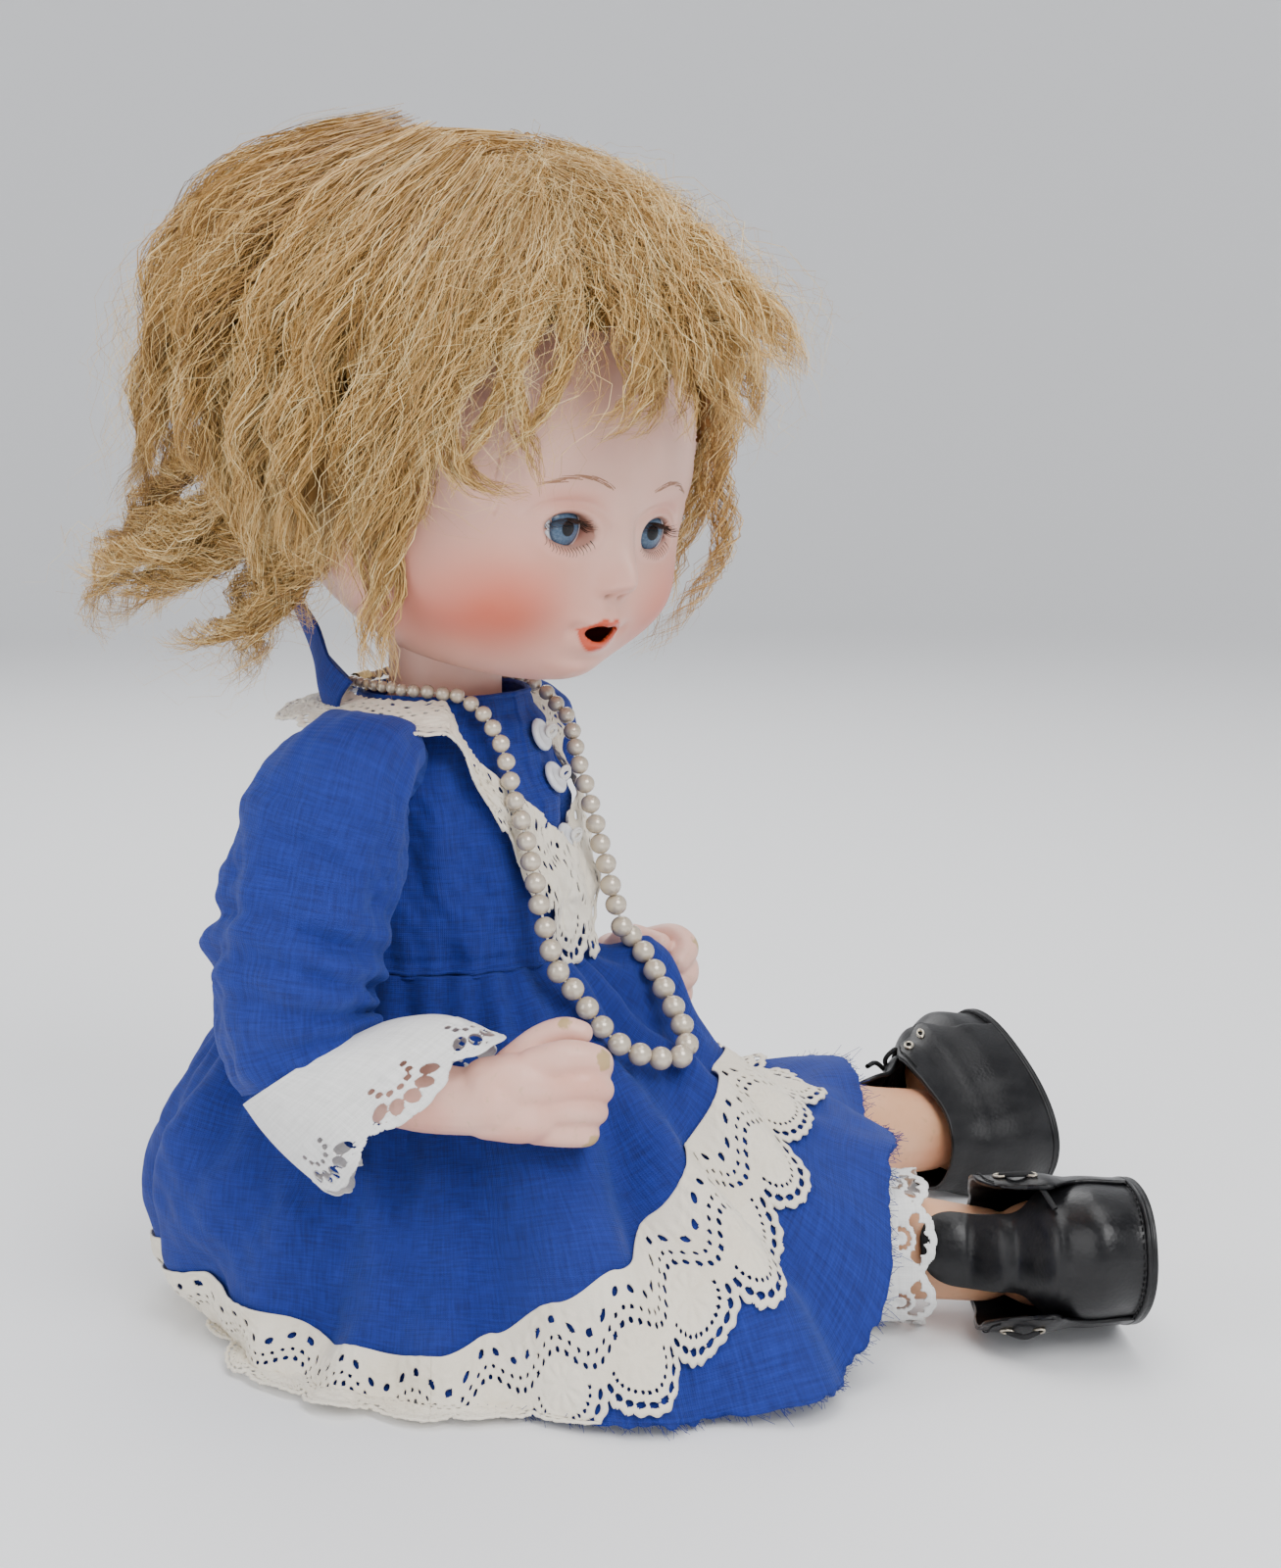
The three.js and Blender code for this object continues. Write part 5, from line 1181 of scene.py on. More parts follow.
def nape_flap():
    """The open back edge of the dress, standing up behind the neck."""
    nu, nv = 60, 60
    u, v = np.meshgrid(np.linspace(0, 1, nu), np.linspace(0, 1, nv), indexing="ij")
    low = curve([(-30, 14, 160), (-22, 22, 162), (-10, 26, 164), (4, 26, 165)], nu)[:, None]
    high = curve([(-30, 11, 171), (-23, 22, 179), (-16, 33, 191), (-8, 39, 190)], nu)[:, None]
    p = low * (1 - v[..., None]) + high * v[..., None]
    p = p + np.array([0, 1, 0.0]) * (2.2 * np.sin(v * math.pi) + 1.2 * np.sin(u * 9) * v)[..., None]
    ob = build("nape_flap", p, grid_faces(nu, nv), BLUE, uv=np.stack([u * 34, v * 28], -1))
    place(thicken(ob, 0.9), "torso", "cotton")


def collar():
    """Lace that follows the neck at the back and falls in a V to the high waist in front."""
    pitch = 20.0
    angles = np.linspace(-172, 172, 345)

    def lines(angle):
        w = np.clip(1 - np.abs(angle) / 64, 0, 1) ** 0.9
        top = mix(166.0, 126.0, w)
        low = mix(160.0, 94.0, smooth(w * 1.05))
        return top, low

    top, low = lines(angles)
    middle = torso_point(angles, (top + low) / 2, 5.5)
    run = np.r_[0, np.cumsum(np.linalg.norm(np.diff(middle, axis=0), axis=1))]
    repeats = round(run[-1] / pitch)
    total = repeats * pitch
    width = 24.0

    def surface(u, v):
        angle = np.interp(u, run * (total / run[-1]), angles)
        t0, l0 = lines(angle)
        k = v / width
        z = mix(t0, l0, k)
        flare = 0.9 + 17 * np.clip(k, 0, 1.1) ** 0.8 * smooth((np.abs(angle) - 36) / 42)
        flare = flare + 0.7 * np.cos(2 * math.pi * u / pitch) * k
        ripple = 0.35 * waves(np.stack([u, v], -1), 12, 71)
        return bodice_surface(angle, z, 2.2 + flare + ripple)

    pattern = lambda u, v, w: cutwork(u - pitch / 2, v, w, pitch)
    ob = lace("lace_collar_cutwork", total, width, 0.36, pattern, surface, LACE)
    place(ob, "torso", "lace", "lace_collar")


LEFT_ARM_LEAN = math.radians(-12)
LEFT_FOREARM_SHIFT = (12.1, 4.2)


def arm_point(side, p):
    """A right arm's station for either side: the left is mirrored and leans back, its forearm level."""
    p = np.array(p, float)
    if side == "right":
        return p
    y, z = p[..., 1] - SHOULDER[1], p[..., 2] - SHOULDER[2]
    c, s = math.cos(LEFT_ARM_LEAN), math.sin(LEFT_ARM_LEAN)
    w = smooth((100 - p[..., 2]) / 14)
    q = p.copy()
    q[..., 0] = -p[..., 0]
    q[..., 1] = mix(SHOULDER[1] + y * c + z * s, p[..., 1] + LEFT_FOREARM_SHIFT[0], w)
    q[..., 2] = mix(SHOULDER[2] - y * s + z * c, p[..., 2] + LEFT_FOREARM_SHIFT[1], w)
    return q


def sleeve(side):
    stations = [
        (-29, 2, 150, 12), (-38, 2.5, 152, 14.5), (-46, 3, 152.5, 17), (-51, 3.8, 149.5, 19.4),
        (-54, 6, 141, 21.3), (-57, 8.5, 130, 21.8), (-60, 10, 117, 21.8), (-63, 11.5, 103, 21.3),
        (-64.3, 11.5, 93, 20.4), (-64.5, 10, 86, 19.4), (-64.5, 7.4, 79.5, 18.4),
    ]
    nu, nv = 170, 150
    line = curve([(*arm_point(side, p[:3]), p[3]) for p in stations], nu)
    centre, r = line[:, :3], line[:, 3]
    t = unit(np.gradient(centre, axis=0))
    front = np.array([0, -1.0, 0])
    a = unit(front - t * (t @ front)[:, None])
    b = np.cross(t, a)
    ang = around(nv)
    k = np.linspace(0, 1, nu)[:, None]
    elbow = bell((k - 0.74) / 0.16)
    inner = smooth((np.cos(ang) + 0.2)[None, :])
    q = np.stack([np.cos(ang)[None] * 18 + 0 * k, np.sin(ang)[None] * 18 + 0 * k,
        k * 95 + 6 * np.sin(ang)[None]], -1)
    seed = 81 if side == "right" else 87
    folds = 1.5 * elbow * inner * np.cos(k * 62 + 1.4 * np.sin(ang)[None] + 0.6)
    folds = folds + 1.1 * waves(q * (1, 1, 0.5), 17, seed)
    folds = folds + 0.7 * waves(q * (0.6, 0.6, 1.4), 13, seed + 1) * (0.5 + elbow)
    folds = folds + 0.18 * waves(q, 5, seed + 2)
    folds = folds + 0.8 * np.cos(ang * 17)[None] * bell(k / 0.10) * smooth(k * 14)
    folds = folds - 0.8 * bell((k - 0.985) / 0.02)
    rr = r[:, None] + folds * smooth(k * 8) * smooth((1.03 - k) * 9)
    p = centre[:, None] + a[:, None] * (rr * np.cos(ang)[None])[..., None]
    p = p + b[:, None] * (0.80 * rr * np.sin(ang)[None])[..., None]
    uv = np.stack([k * 100 + 0 * ang[None], ang[None] * 18 + 0 * k], -1)
    ob = build(f"blue_sleeve_{side}", p, grid_faces(nu, nv, wrap_v=True), BLUE, uv=uv)
    thicken(ob, CLOTH)
    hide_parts(f"sleeve_{side}")
    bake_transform(ob)


# upper edge y and z, lower edge y and z, half width, from the wrist to the frill
CUFF_RINGS = {
    "right": [(-6, 90.5, 24, 70, 14.8), (-17, 94, 19, 63, 16.5), (-28, 94.5, 12, 56, 18.5),
        (-41, 89, 0, 47, 21)],
    "left": [(-5, 88, 20, 70, 14.8), (-12, 86, 15, 66, 15.5), (-20, 84, 11, 61, 16.5), (-30, 81, 3, 57, 18)],
}


def cuff(side):
    """Starched eyelet cuff that flares over the wrist."""
    rings = CUFF_RINGS[side]
    centre = [(-64.5 + i, (r[0] + r[2]) / 2, (r[1] + r[3]) / 2) for i, r in enumerate(rings)]
    half = [(0, (r[0] - r[2]) / 2, (r[1] - r[3]) / 2) for r in rings]
    stations = np.array([(*c, *h, r[4]) for c, h, r in zip(centre, half, rings)])
    pitch, width = 19.0, 33.0
    repeats = 6
    total = pitch * repeats
    left = side == "left"
    move = np.array([0.0, *LEFT_FOREARM_SHIFT]) * left
    flip = np.array([-1.0 if left else 1.0, 1, 1])

    def surface(u, v):
        line = curve(stations, 40)
        k = v / width * 39
        i = np.clip(k.astype(int), 0, 38)
        f = (k - i)[..., None]
        at = line[i] * (1 - f) + line[i + 1] * f
        ang = -2 * math.pi * u / total
        wave = 1 + 0.06 * np.cos(3 * ang + 0.6) * (v / width) ** 2 + 0.03 * np.cos(7 * ang) * v / width
        sideways = at[..., 6] * wave * np.sin(ang)
        p = at[..., :3] + at[..., 3:6] * (wave * np.cos(ang))[..., None] - sideways[..., None] * (1, 0, 0)
        return p * flip + move

    ob = lace(f"eyelet_cuff_{side}", total, width, 0.36, lambda u, v, w: broderie(u, v, w, pitch), surface,
        EYELET, 0.4, wrap=True)
    place(ob, f"{side}_arm", "lawn", f"cuff_lace_{side}")


def buttons():
    for name, z in (("button_top", 155), ("button_middle", 144), ("button_bottom", 128)):
        centre = bodice_surface(np.array(0.0), np.array(float(z)), 1.2)
        below = bodice_surface(np.array(0.0), np.array(z - 4.0), 1.2)
        up = unit(centre - below)
        out = np.array([0, -up[2], up[1]])
        profile = [(0.0, 3.6), (0.5, 4.3), (1.1, 4.4), (1.7, 4.0), (1.9, 3.3), (1.55, 2.4), (1.4, 1.2),
            (1.38, 0.01)]
        ang = around(48)
        rows = [centre + out * h + r * (np.cos(ang)[:, None] * np.array([1.0, 0, 0])
            + np.sin(ang)[:, None] * up) for h, r in profile]
        ob = build(f"{name}_disc", np.array(rows), grid_faces(len(profile), 48, wrap_v=True), BUTTON)
        place(ob, "torso", "lawn", name)
        parts = []
        for dx, dz, r in ((0.0, 0.3, 1.3), (0.3, -0.4, 1.2)):
            ring = np.linspace(0, 2 * math.pi, 26)
            loop = centre + out * 2.1 + np.stack([np.cos(ring) * r * 2.4 + 4.2 + dx, 0 * ring,
                np.sin(ring) * r + dz], -1)
            parts.append(tube(loop, 0.45, 7))
        points, quads = merge(parts)
        place(build(f"{name}_loop", points, quads, INNER["tape"]), "torso", "lawn")


def necklace():
    chest = lambda a, z, extra: torso_point(np.array(float(a)), np.array(float(z)), extra + 1.9)
    lap = lambda a, s, lift: skirt_surface(np.array(float(a)), np.array(s), lift - 2.2)
    stations = [
        (-4.2, 22.8, 168), (-15, 17, 169), (-22.5, 0, 168.5), (-21, -16, 166.5),
        chest(-38, 158, 7), chest(-34, 145, 7.5), chest(-33, 130, 8), chest(-33, 115, 9),
        chest(-31, 101, 12), lap(-25, 0.14, 8), lap(-18, 0.3, 7.2), lap(-3, 0.42, 7), lap(12, 0.3, 7.2),
        lap(20, 0.14, 8), chest(18, 101, 11.5), chest(16, 115, 9), chest(15, 130, 8),
        chest(18, 145, 7.5), chest(30, 158, 7),
        (21, -16, 166.5), (22.5, 0, 168.5), (15, 17, 169), (4.2, 22.8, 168),
    ]
    line = curve(np.array(stations, float), 1200)
    step = np.r_[0, np.cumsum(np.linalg.norm(np.diff(line, axis=0), axis=1))]
    size = lambda i, n: mix(1.5, 3.7, np.sin(np.pi * (i + 0.5) / n) ** 1.7)
    n = 74
    radii = size(np.arange(n), n)
    radii = radii * step[-1] / (2 * radii.sum())
    at = np.cumsum(2 * radii) - radii
    parts = []
    rng = np.random.default_rng(5)
    for d, r in zip(at, radii):
        c = np.array([np.interp(d, step, line[:, k]) for k in range(3)])
        parts.append(sphere(c + rng.normal(0, 0.12, 3), r * 0.985, 22, (1, 1, rng.uniform(0.95, 1.0))))
    points, quads = merge(parts)
    place(build("pearls", points, quads, PEARL), "torso", "pearl", "pearl_necklace")
    points, quads = tube(line[::6], 0.35, 6)
    place(build("pearl_cord", points, quads, INNER["tape"]), "torso", "pearl")


skirt()
frayed_hem()
skirt_band()
bodice()
back_tape()
nape_flap()
collar()
for side in SIDES:
    sleeve(side)
    cuff(side)
buttons()
necklace()


# ---------------------------------------------------------------- arms and legs
def chain(stations, count):
    """A run of overlapping balls along stations of (x, y, z, radius)."""
    line = curve(np.array(stations, float), count)
    return [sphere(p[:3], p[3], 16) for p in line]


def organic(name, parts, voxel, paint, rounds=5):
    """Fuses closed parts into one smooth skin."""
    points, quads = merge(parts)
    ob = build(name, points, quads, paint)
    skin = ob.modifiers.new("skin", "REMESH")
    skin.mode, skin.voxel_size, skin.use_smooth_shade = "VOXEL", voxel * MM, True
    ease = ob.modifiers.new("ease", "SMOOTH")
    ease.factor, ease.iterations = 0.5, rounds
    apply_modifiers(ob)
    if not ob.data.materials:
        ob.data.materials.append(paint)
    return ob


def vertices(ob):
    co = np.zeros(len(ob.data.vertices) * 3, np.float32)
    ob.data.vertices.foreach_get("co", co)
    return co.reshape(-1, 3).astype(float) / MM


def set_value(ob, key, value):
    attribute = ob.data.attributes.new(key, "FLOAT", "POINT")
    attribute.data.foreach_set("value", np.asarray(value, np.float32))


# stations (x, y, z, radius) of the right arm, of the upper and lower half of its palm and of its fingers
ARM = [
    (-51, 4, 144, 10.6), (-56, 6.5, 128, 11.2), (-62, 10, 106, 10.8), (-64, 9, 92, 10.2),
    (-64, -4, 80, 9.4), (-63, -20, 75.5, 8.9), (-61, -34, 74.5, 8.2), (-60, -40, 75.5, 8.6),
]
PALM = (
    [(-60.5, -38, 79, 6.8), (-58.5, -46, 80, 7.0), (-57, -51, 79.5, 5.6)],
    [(-60.5, -38, 72, 6.6), (-58.5, -46, 71.5, 6.8), (-56.5, -50, 71, 5.4)],
)
FINGERS = (
    [(-57.5, -49, 84, 4.6), (-56, -57, 86.5, 4.3), (-51.5, -62.5, 85, 3.8), (-47, -62, 82, 3.3)],
    [(-57, -52, 78.5, 4.6), (-54.5, -60, 80, 4.2), (-50, -63, 77.5, 3.6), (-46.5, -60.5, 75.5, 3.2)],
    [(-56.5, -52, 73, 4.4), (-54, -59, 73.5, 4.0), (-49.5, -61.5, 71.5, 3.4), (-46, -59, 70, 3.1)],
    [(-56, -49, 67.8, 4.0), (-54, -55.5, 67.0, 3.7), (-50.5, -59.5, 66, 3.2), (-47, -58.5, 65.4, 2.8)],
    [(-53, -41, 82, 4.6), (-49, -47, 87.5, 4.2), (-48, -53, 90.5, 3.6), (-47, -57, 90.2, 3.0)],
)


def arm(side):
    parts = []
    for rows, count in [(ARM, 46)] + [(half, 9) for half in PALM] + [(finger, 16) for finger in FINGERS]:
        at = arm_point(side, np.array(rows, float)[:, :3])
        parts += chain(np.c_[at, np.array(rows, float)[:, 3]], count)
    ob = organic(f"composition_arm_{side}", parts, 0.62, HAND, 5)
    p = vertices(ob)
    wear, blush = np.zeros(len(p)), np.zeros(len(p))
    for i, finger in enumerate(FINGERS):
        ends = arm_point(side, np.array(finger, float)[:, :3])
        nail = ends[2] + (ends[2] - ends[1]) * 0.1
        nail = nail + (ends[2] - arm_point(side, np.array((-40.0, -50, 77)))) * 0.12
        size = (3.8, 1.6, 2.2, 3.9, 3.2)[i]
        wear = np.maximum(wear, smooth(1.25 - np.linalg.norm(p - nail, axis=1) / size))
        blush = np.maximum(blush, 0.55 * bell(np.linalg.norm(p - ends[0], axis=1) / 4.5))
    blush = np.maximum(blush, 0.5 * smooth(waves(p, 26, 91) * 0.6))
    set_value(ob, "wear", wear * 0.8)
    set_value(ob, "blush", blush)
    place(ob, f"{side}_arm", "composition", f"arm_{side}")


def leg_frame(side):
    """Places by distance down the leg, towards the toe and across it, and the level axis across the leg."""
    s = -1 if side == "right" else 1
    yaw, lift = math.radians(LEG_YAW[side]), math.radians(TOE_LIFT[side])
    d = np.array([math.sin(yaw), -math.cos(yaw), 0])
    axis = np.array([math.cos(yaw), math.sin(yaw), 0])
    toe = s * math.cos(lift) * axis + np.array([0, 0, math.sin(lift)])
    across = np.cross(toe, d)
    hip = HIP * (s, 1, 1)

    def at(t, f=0.0, w=0.0):
        t, f, w = np.broadcast_arrays(np.asarray(t, float), f, w)
        drop = -9.5 * np.clip(t / 147, 0, 1) - 1.4 * smooth((t - 132) / 20)
        p = hip + t[..., None] * d + f[..., None] * toe + w[..., None] * across
        return p + drop[..., None] * np.array([0, 0, 1.0])

    return at, axis


FOOTPRINT = [(-4, -20, 41, 17), (0, -20, 41, 17), (10, -21, 42.5, 17.6), (20, -20, 38, 16.8),
    (30, -18, 27, 15.6), (41, -16, 18, 15), (52, -15.5, 15.5, 14.4)]


def foot_ring(side, h, turn_deg, out=0.0):
    """Place on the shoe at height h above the sole, turned from the toe tip towards the outer side."""
    at, sole = leg_frame(side)[0], SOLE_AT[side]
    heel, tip, half = np.moveaxis(table(FOOTPRINT, h), -1, 0)
    a = np.radians(turn_deg)
    c, w = np.sign(np.cos(a)) * np.abs(np.cos(a)) ** 0.85, np.sign(np.sin(a)) * np.abs(np.sin(a)) ** 0.85
    p = at(sole - h, (heel + tip) / 2 + c * ((tip - heel) / 2 + out), w * (half + out))
    p[..., 2] = np.maximum(p[..., 2], 0.7)
    return p


def leg(side):
    at, sole = leg_frame(side)[0], SOLE_AT[side]
    scale = sole / LEG_LENGTH
    rows = [(0, 17), (16, 18), (36, 19.4), (70, 17.2), (86, 16.6), (108, 16.8), (130, 13.8), (150, 12.3)]
    stations = [(*at(np.array(t * scale)), r) for t, r in rows]
    foot = [(*at(np.array(sole - 18.0), 0.0), 14.0), (*at(np.array(sole - 16.5), 12.0), 12.6),
        (*at(np.array(sole - 14.0), 24.0), 10.8)]
    parts = chain(stations, 52) + chain(foot, 12)
    ob = organic(f"composition_leg_{side}", parts, 1.0, LEG, 6)
    p = vertices(ob)
    set_value(ob, "wear", 0.25 * smooth(waves(p, 30, 95) - 0.8))
    set_value(ob, "blush", 0.6 * smooth(waves(p, 34, 96) * 0.5))
    place(ob, f"{side}_leg", "composition", f"leg_{side}")


def drawers(side):
    """One leg of the drawers with its eyelet edging; the left one ends under the skirt."""
    at, axis = leg_frame(side)
    scale = SOLE_AT[side] / LEG_LENGTH
    reach = {"right": 1.0, "left": 0.82}[side]
    rows = [(5, 22.4), (30, 23.4), (60, 22.2), (90 * reach, 20.6), (117 * reach, 19.3)]
    nu, nv = 110, 160
    line = curve(np.array([(*at(np.array(t * scale)), r) for t, r in rows]), nu)
    ang = around(nv)
    k = np.linspace(0, 1, nu)[:, None]
    q = np.stack([np.cos(ang)[None] * 20 + 0 * k, np.sin(ang)[None] * 20 + 0 * k, k * 60 + 0 * ang[None]], -1)
    seed = 101 if side == "right" else 105
    r = line[:, 3:4] + 0.5 * waves(q, 16, seed) + 0.5 * np.cos(9 * ang[None] + 2 * k) * smooth(k * 3)
    up = np.array([0, 0, 1.0])
    p = line[:, None, :3] + (r * np.cos(ang)[None])[..., None] * axis
    p = p + (0.97 * r * np.sin(ang)[None])[..., None] * up
    p[..., 2] = np.maximum(p[..., 2], 0.6)
    uv = np.stack([k * 110 + 0 * ang[None], ang[None] * 20 + 0 * k], -1)
    ob = build(f"drawers_leg_{side}", p, grid_faces(nu, nv, wrap_v=True)[:, ::-1], EYELET, uv=uv)
    place(thicken(ob, 0.5), f"{side}_leg", "lawn", f"bloomer_leg_{side}")
    pitch, repeats = 17.0, 7
    total, width = pitch * repeats, 24.0
    begin = 114.0 * scale * reach

    def surface(u, v):
        ang = 2 * math.pi * u / total
        t = begin + v * 0.86
        centre = at(t)
        r = 19.9 + 0.5 * v / width + 0.9 * np.cos(5 * ang + 1) * v / width
        r = r + 0.4 * np.cos(11 * ang) * (v / width) ** 2
        p = centre + (r * np.cos(ang))[..., None] * axis + (0.97 * r * np.sin(ang))[..., None] * up
        p[..., 2] = np.maximum(p[..., 2], 0.7)
        return p

    ob = lace(f"drawers_edging_{side}", total, width, 0.38, lambda u, v, w: broderie(u, v, w, pitch),
        surface, EYELET, 0.4, wrap=True)
    place(ob, f"{side}_leg", "lawn", f"bloomer_lace_{side}")


def shoe(side):
    shoe_vamp(side)
    shoe_quarters(side)
    shoe_sole(side)
    shoe_stitching(side)
    shoe_cord(side, shoe_eyelets(side))


def shoe_vamp(side):
    """Toe cap and tongue."""
    h, k = np.meshgrid(np.linspace(-0.4, 52, 110), np.linspace(-1, 1, 90), indexing="ij")
    wide = mix(84, 36, smooth((h - 15) / 15))
    tongue = np.sqrt(np.clip(1 - np.clip((h - 43) / 9.2, 0, 1) ** 2, 0, 1))
    puff = 0.9 * bell((h - 12) / 12) * bell(k / 0.7)
    crease = -0.35 * bell((h - 25 - 2 * k ** 2) / 1.4) - 0.25 * bell((h - 31) / 1.2)
    p = foot_ring(side, h, k * (wide * tongue), puff + crease - 0.5 * smooth((h - 22) / 8))
    ob = build(f"shoe_vamp_{side}", p, grid_faces(110, 90), LEATHER)
    thicken(ob, 1.3)
    place(ob, f"{side}_leg", "leather", f"shoe_upper_{side}")


def quarter(side, h, k, out=0.0):
    """Place on the shoe's back part; k runs from the outer front edge round the heel to the inner one."""
    edge = 66 - 26 * smooth((h - 12) / 12)
    turn_deg = edge + (360 - 2 * edge) * k
    front = smooth((0.24 - np.minimum(k, 1 - k)) / 0.24)
    lift = FLAP_FLARE[side] * front * smooth((h - 12) / 16) + 1.3
    return foot_ring(side, h, turn_deg, lift + out - 0.5 * bell((h - 30) / 8) * (1 - front))


def quarter_top(k):
    m = np.minimum(k, 1 - k)
    corner = 9 * (1 - np.sqrt(np.clip(1 - (1 - np.clip(m / 0.045, 0, 1)) ** 2, 0, 1)))
    return 37.5 - 3.5 * smooth((m - 0.1) / 0.2) - corner


def shoe_quarters(side):
    u, k = np.meshgrid(np.linspace(0, 1, 60), np.linspace(0, 1, 200), indexing="ij")
    h = mix(-0.4, quarter_top(k), u)
    ob = build(f"shoe_quarters_{side}", quarter(side, h, k), grid_faces(60, 200), LEATHER)
    thicken(ob, 1.2)
    place(ob, f"{side}_leg", "leather")


def shoe_sole(side):
    count = 180
    ring = np.linspace(0, 360, count, endpoint=False)
    rows = [(-0.2, -3.0), (-0.2, 1.0), (-0.6, 1.9), (-1.3, 2.1), (-1.5, 1.6), (-1.9, 1.6), (-2.6, 2.0),
        (-3.0, 1.5), (-3.0, -9.0), (-3.0, -16.98)]
    p = np.stack([foot_ring(side, np.full(count, h), ring, out) for h, out in rows], 0)
    ob = build(f"shoe_welted_sole_{side}", p, grid_faces(len(rows), count, wrap_v=True), LEATHER)
    place(ob, f"{side}_leg", "leather", f"shoe_sole_{side}")


def shoe_stitching(side):
    count = 64
    stitches = []
    for i in range(count):
        a = np.array([i / count * 360, i / count * 360 + 3.2])
        line = foot_ring(side, np.full(2, 0.15), a, 1.45)
        stitches.append(tube(curve(line, 4), 0.22, 5))
    points, quads = merge(stitches)
    place(build(f"shoe_welt_stitching_{side}", points, quads, CORD), f"{side}_leg", "leather")
    seams = []
    for start, stop in ((0.018, 0.13), (0.87, 0.982)):
        k = np.linspace(start, stop, 40)
        seams.append(tube(quarter(side, quarter_top(k) - 1.6, k, 1.0), 0.2, 5))
    points, quads = merge(seams)
    place(build(f"shoe_edge_stitching_{side}", points, quads, CORD), f"{side}_leg", "leather")


def shoe_eyelets(side):
    """Four eyelets in the quarters; returns the centre and outward direction of each."""
    around_leather = lambda h, k, out: quarter(side, np.array(float(h)), np.array(k), out)
    ang, tube_ang = around(40), around(10)
    holes = {}
    for name, (h0, k0) in EYELETS.items():
        c = around_leather(h0, k0, 0.7)
        e1 = unit(around_leather(h0 + 1.0, k0, 0.7) - c)
        e2 = unit(around_leather(h0, k0 + 0.004, 0.7) - c)
        out = unit(around_leather(h0, k0, 1.7) - c)
        circle = np.cos(ang)[:, None] * e1 + np.sin(ang)[:, None] * e2
        loop = c + 1.55 * circle + out * 0.15
        radial = unit(loop - c)
        pts = loop[:, None] + 0.5 * (np.cos(tube_ang)[None, :, None] * radial[:, None]
            + np.sin(tube_ang)[None, :, None] * out)
        place(build(f"eyelet_{name}_{side}", pts, grid_faces(40, 10, wrap_u=True, wrap_v=True), NICKEL),
            f"{side}_leg", "brass", f"shoe_eyelet_{name}_{side}")
        disc = np.stack([c + out * 0.05 + r * circle for r in (0.02, 1.3)], 0)
        place(build(f"eyelet_hole_{name}_{side}", disc, grid_faces(2, 40, wrap_v=True), CORD),
            f"{side}_leg", "leather")
        holes[name] = (c, out)
    return holes


def shoe_cord(side, holes):
    """The left shoe's cord is tied in a bow; the right one's hangs untied."""
    laces = []
    lo, li, ho, hi = (holes[n][0] + holes[n][1] * 0.4 for n in ("low_outer", "low_inner", "high_outer",
        "high_inner"))
    out = unit(holes["high_outer"][1] + holes["high_inner"][1])
    if side == "left":
        across = unit(hi - ho)
        along = unit(np.cross(out, across))
        knot = (ho + hi) / 2 + out * 3.2
        for a, b in ((lo, li), (ho, hi), (lo, hi), (li, ho)):
            laces.append(([a, (a + b) / 2 + out * 2.2, b], 0.75))
        for s in (-1, 1):
            laces.append(([knot, knot + s * across * 5 + out * 3.5 + along * 2,
                knot + s * across * 9 + out * 2, knot + s * across * 6 - along * 3 + out, knot], 0.75))
            laces.append(([knot, knot + s * across * 4 - along * 5 + out * 2,
                knot + s * across * 7 - along * 11 - out * 1.5], 0.75))
        laces.append(([knot - across * 1.5, knot + out * 1.2, knot + across * 1.5], 1.5))
    else:
        laces.append(([lo, lo + out * 1.5 + (ho - lo) * 0.5, ho], 0.75))
        laces.append(([li, li + holes["low_inner"][1] * 1.6 + (hi - li) * 0.5, hi], 0.75))
        tip = foot_ring(side, np.array(21.0), np.array(30.0), 2.2)
        laces.append(([lo, (lo + tip) / 2 + out * 1.0, tip], 0.7))
    points, quads = merge([tube(curve(np.array(line), 30), r, 8) for line, r in laces])
    place(build(f"shoe_cord_{side}", points, quads, CORD), f"{side}_leg", "leather", f"shoe_lace_{side}")


for side in SIDES:
    arm(side)
    leg(side)
    drawers(side)
    shoe(side)


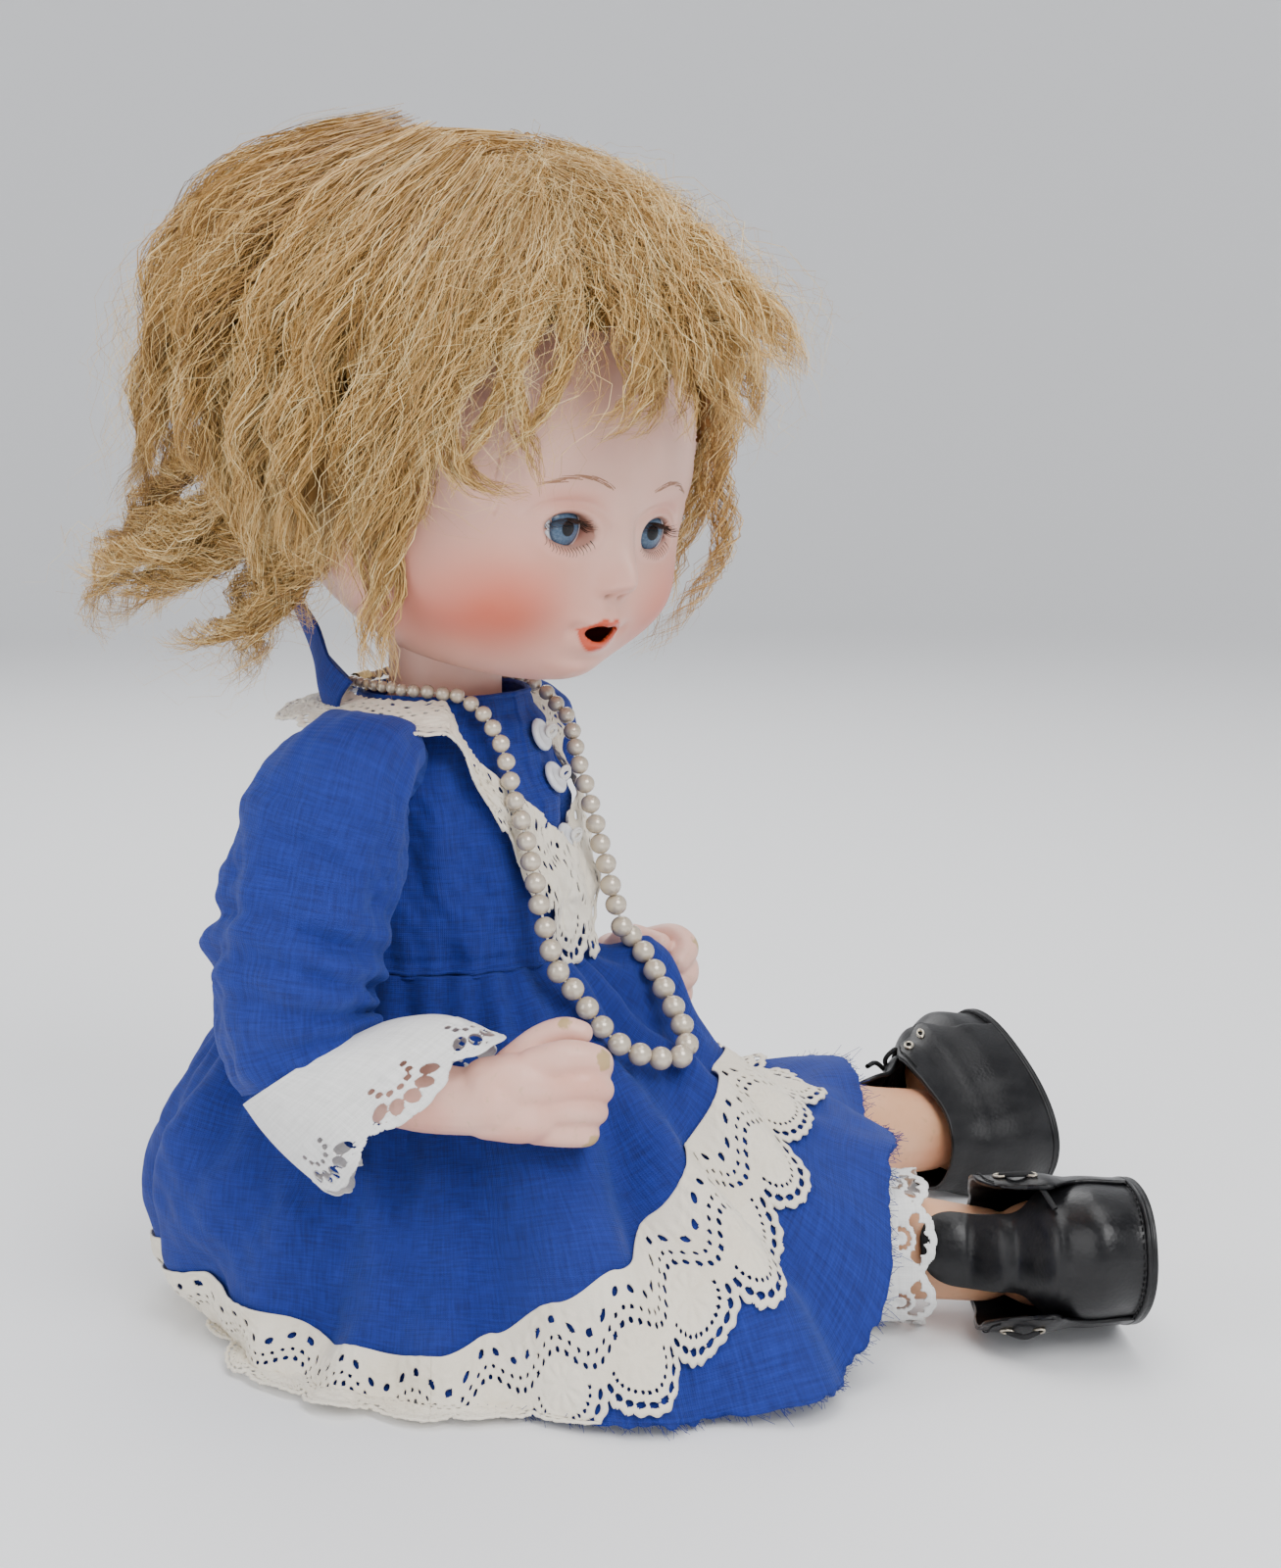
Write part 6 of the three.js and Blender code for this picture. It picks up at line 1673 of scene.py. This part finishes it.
# ---------------------------------------------------------------- floor, light, camera
def stage():
    """Seamless pale floor that curves up into a wall all round."""
    bend = np.linspace(0, math.pi / 2, 16)
    reach = np.r_[0.001, 0.6, 1.2, 1.7 + 0.8 * np.sin(bend), 2.5]
    rise = np.r_[0, 0, 0, 0.8 * (1 - np.cos(bend)), 2.3]
    round_it = around(72)
    p = np.stack([
        reach[:, None] * np.cos(round_it), reach[:, None] * np.sin(round_it),
        rise[:, None] - 0.0002 + 0 * round_it,
    ], -1)
    paint = Paint("pale_sweep", (0.87, 0.875, 0.885), 0.75, Emission_Color=(0.86, 0.87, 0.9, 1),
        Emission_Strength=0.07)
    floor = build("studio_sweep", p / MM, grid_faces(*p.shape[:2], wrap_v=True), paint.mat)


def lamp(name, at, look, size, power, colour=(1, 1, 1)):
    data = bpy.data.lights.new(name, "AREA")
    data.shape, data.size, data.energy, data.color = "DISK", size, power, colour
    ob = bpy.data.objects.new(name, data)
    bpy.context.scene.collection.objects.link(ob)
    ob.location = at
    ob.rotation_euler = (Vector(look) - Vector(at)).to_track_quat("-Z", "Y").to_euler()
    ob.visible_camera = False


def sky():
    world = bpy.data.worlds.new("studio")
    world.use_nodes = True
    background = world.node_tree.nodes["Background"].inputs
    background["Color"].default_value = (0.86, 0.88, 0.93, 1)
    background["Strength"].default_value = 0.32
    bpy.context.scene.world = world


CAMERA_AT = (-0.6286, -0.2806, 0.2556)
CAMERA_AIM = Vector((0, -0.0555, 0.1439))
LENS_MM = 60.75


def camera():
    """Stands where the doll's right side and part of its face show."""
    data = bpy.data.cameras.new("photo_view")
    data.lens, data.sensor_width = LENS_MM, 36
    ob = bpy.data.objects.new("photo_view", data)
    bpy.context.scene.collection.objects.link(ob)
    ob.location = CAMERA_AT
    ob.rotation_euler = (CAMERA_AIM - ob.location).to_track_quat("-Z", "Y").to_euler()
    bpy.context.scene.camera = ob


stage()
lamp("key_softbox", (-0.75, -0.95, 1.15), (0, -0.03, 0.14), 0.9, 18)
lamp("top_softbox", (0.05, -0.1, 1.5), (0, -0.03, 0.1), 1.3, 16)
lamp("fill_softbox", (-1.1, 0.75, 0.65), (0, 0, 0.14), 1.1, 7)
lamp("back_softbox", (0.9, 0.5, 0.9), (0, 0, 0.2), 0.9, 5)
sky()
camera()
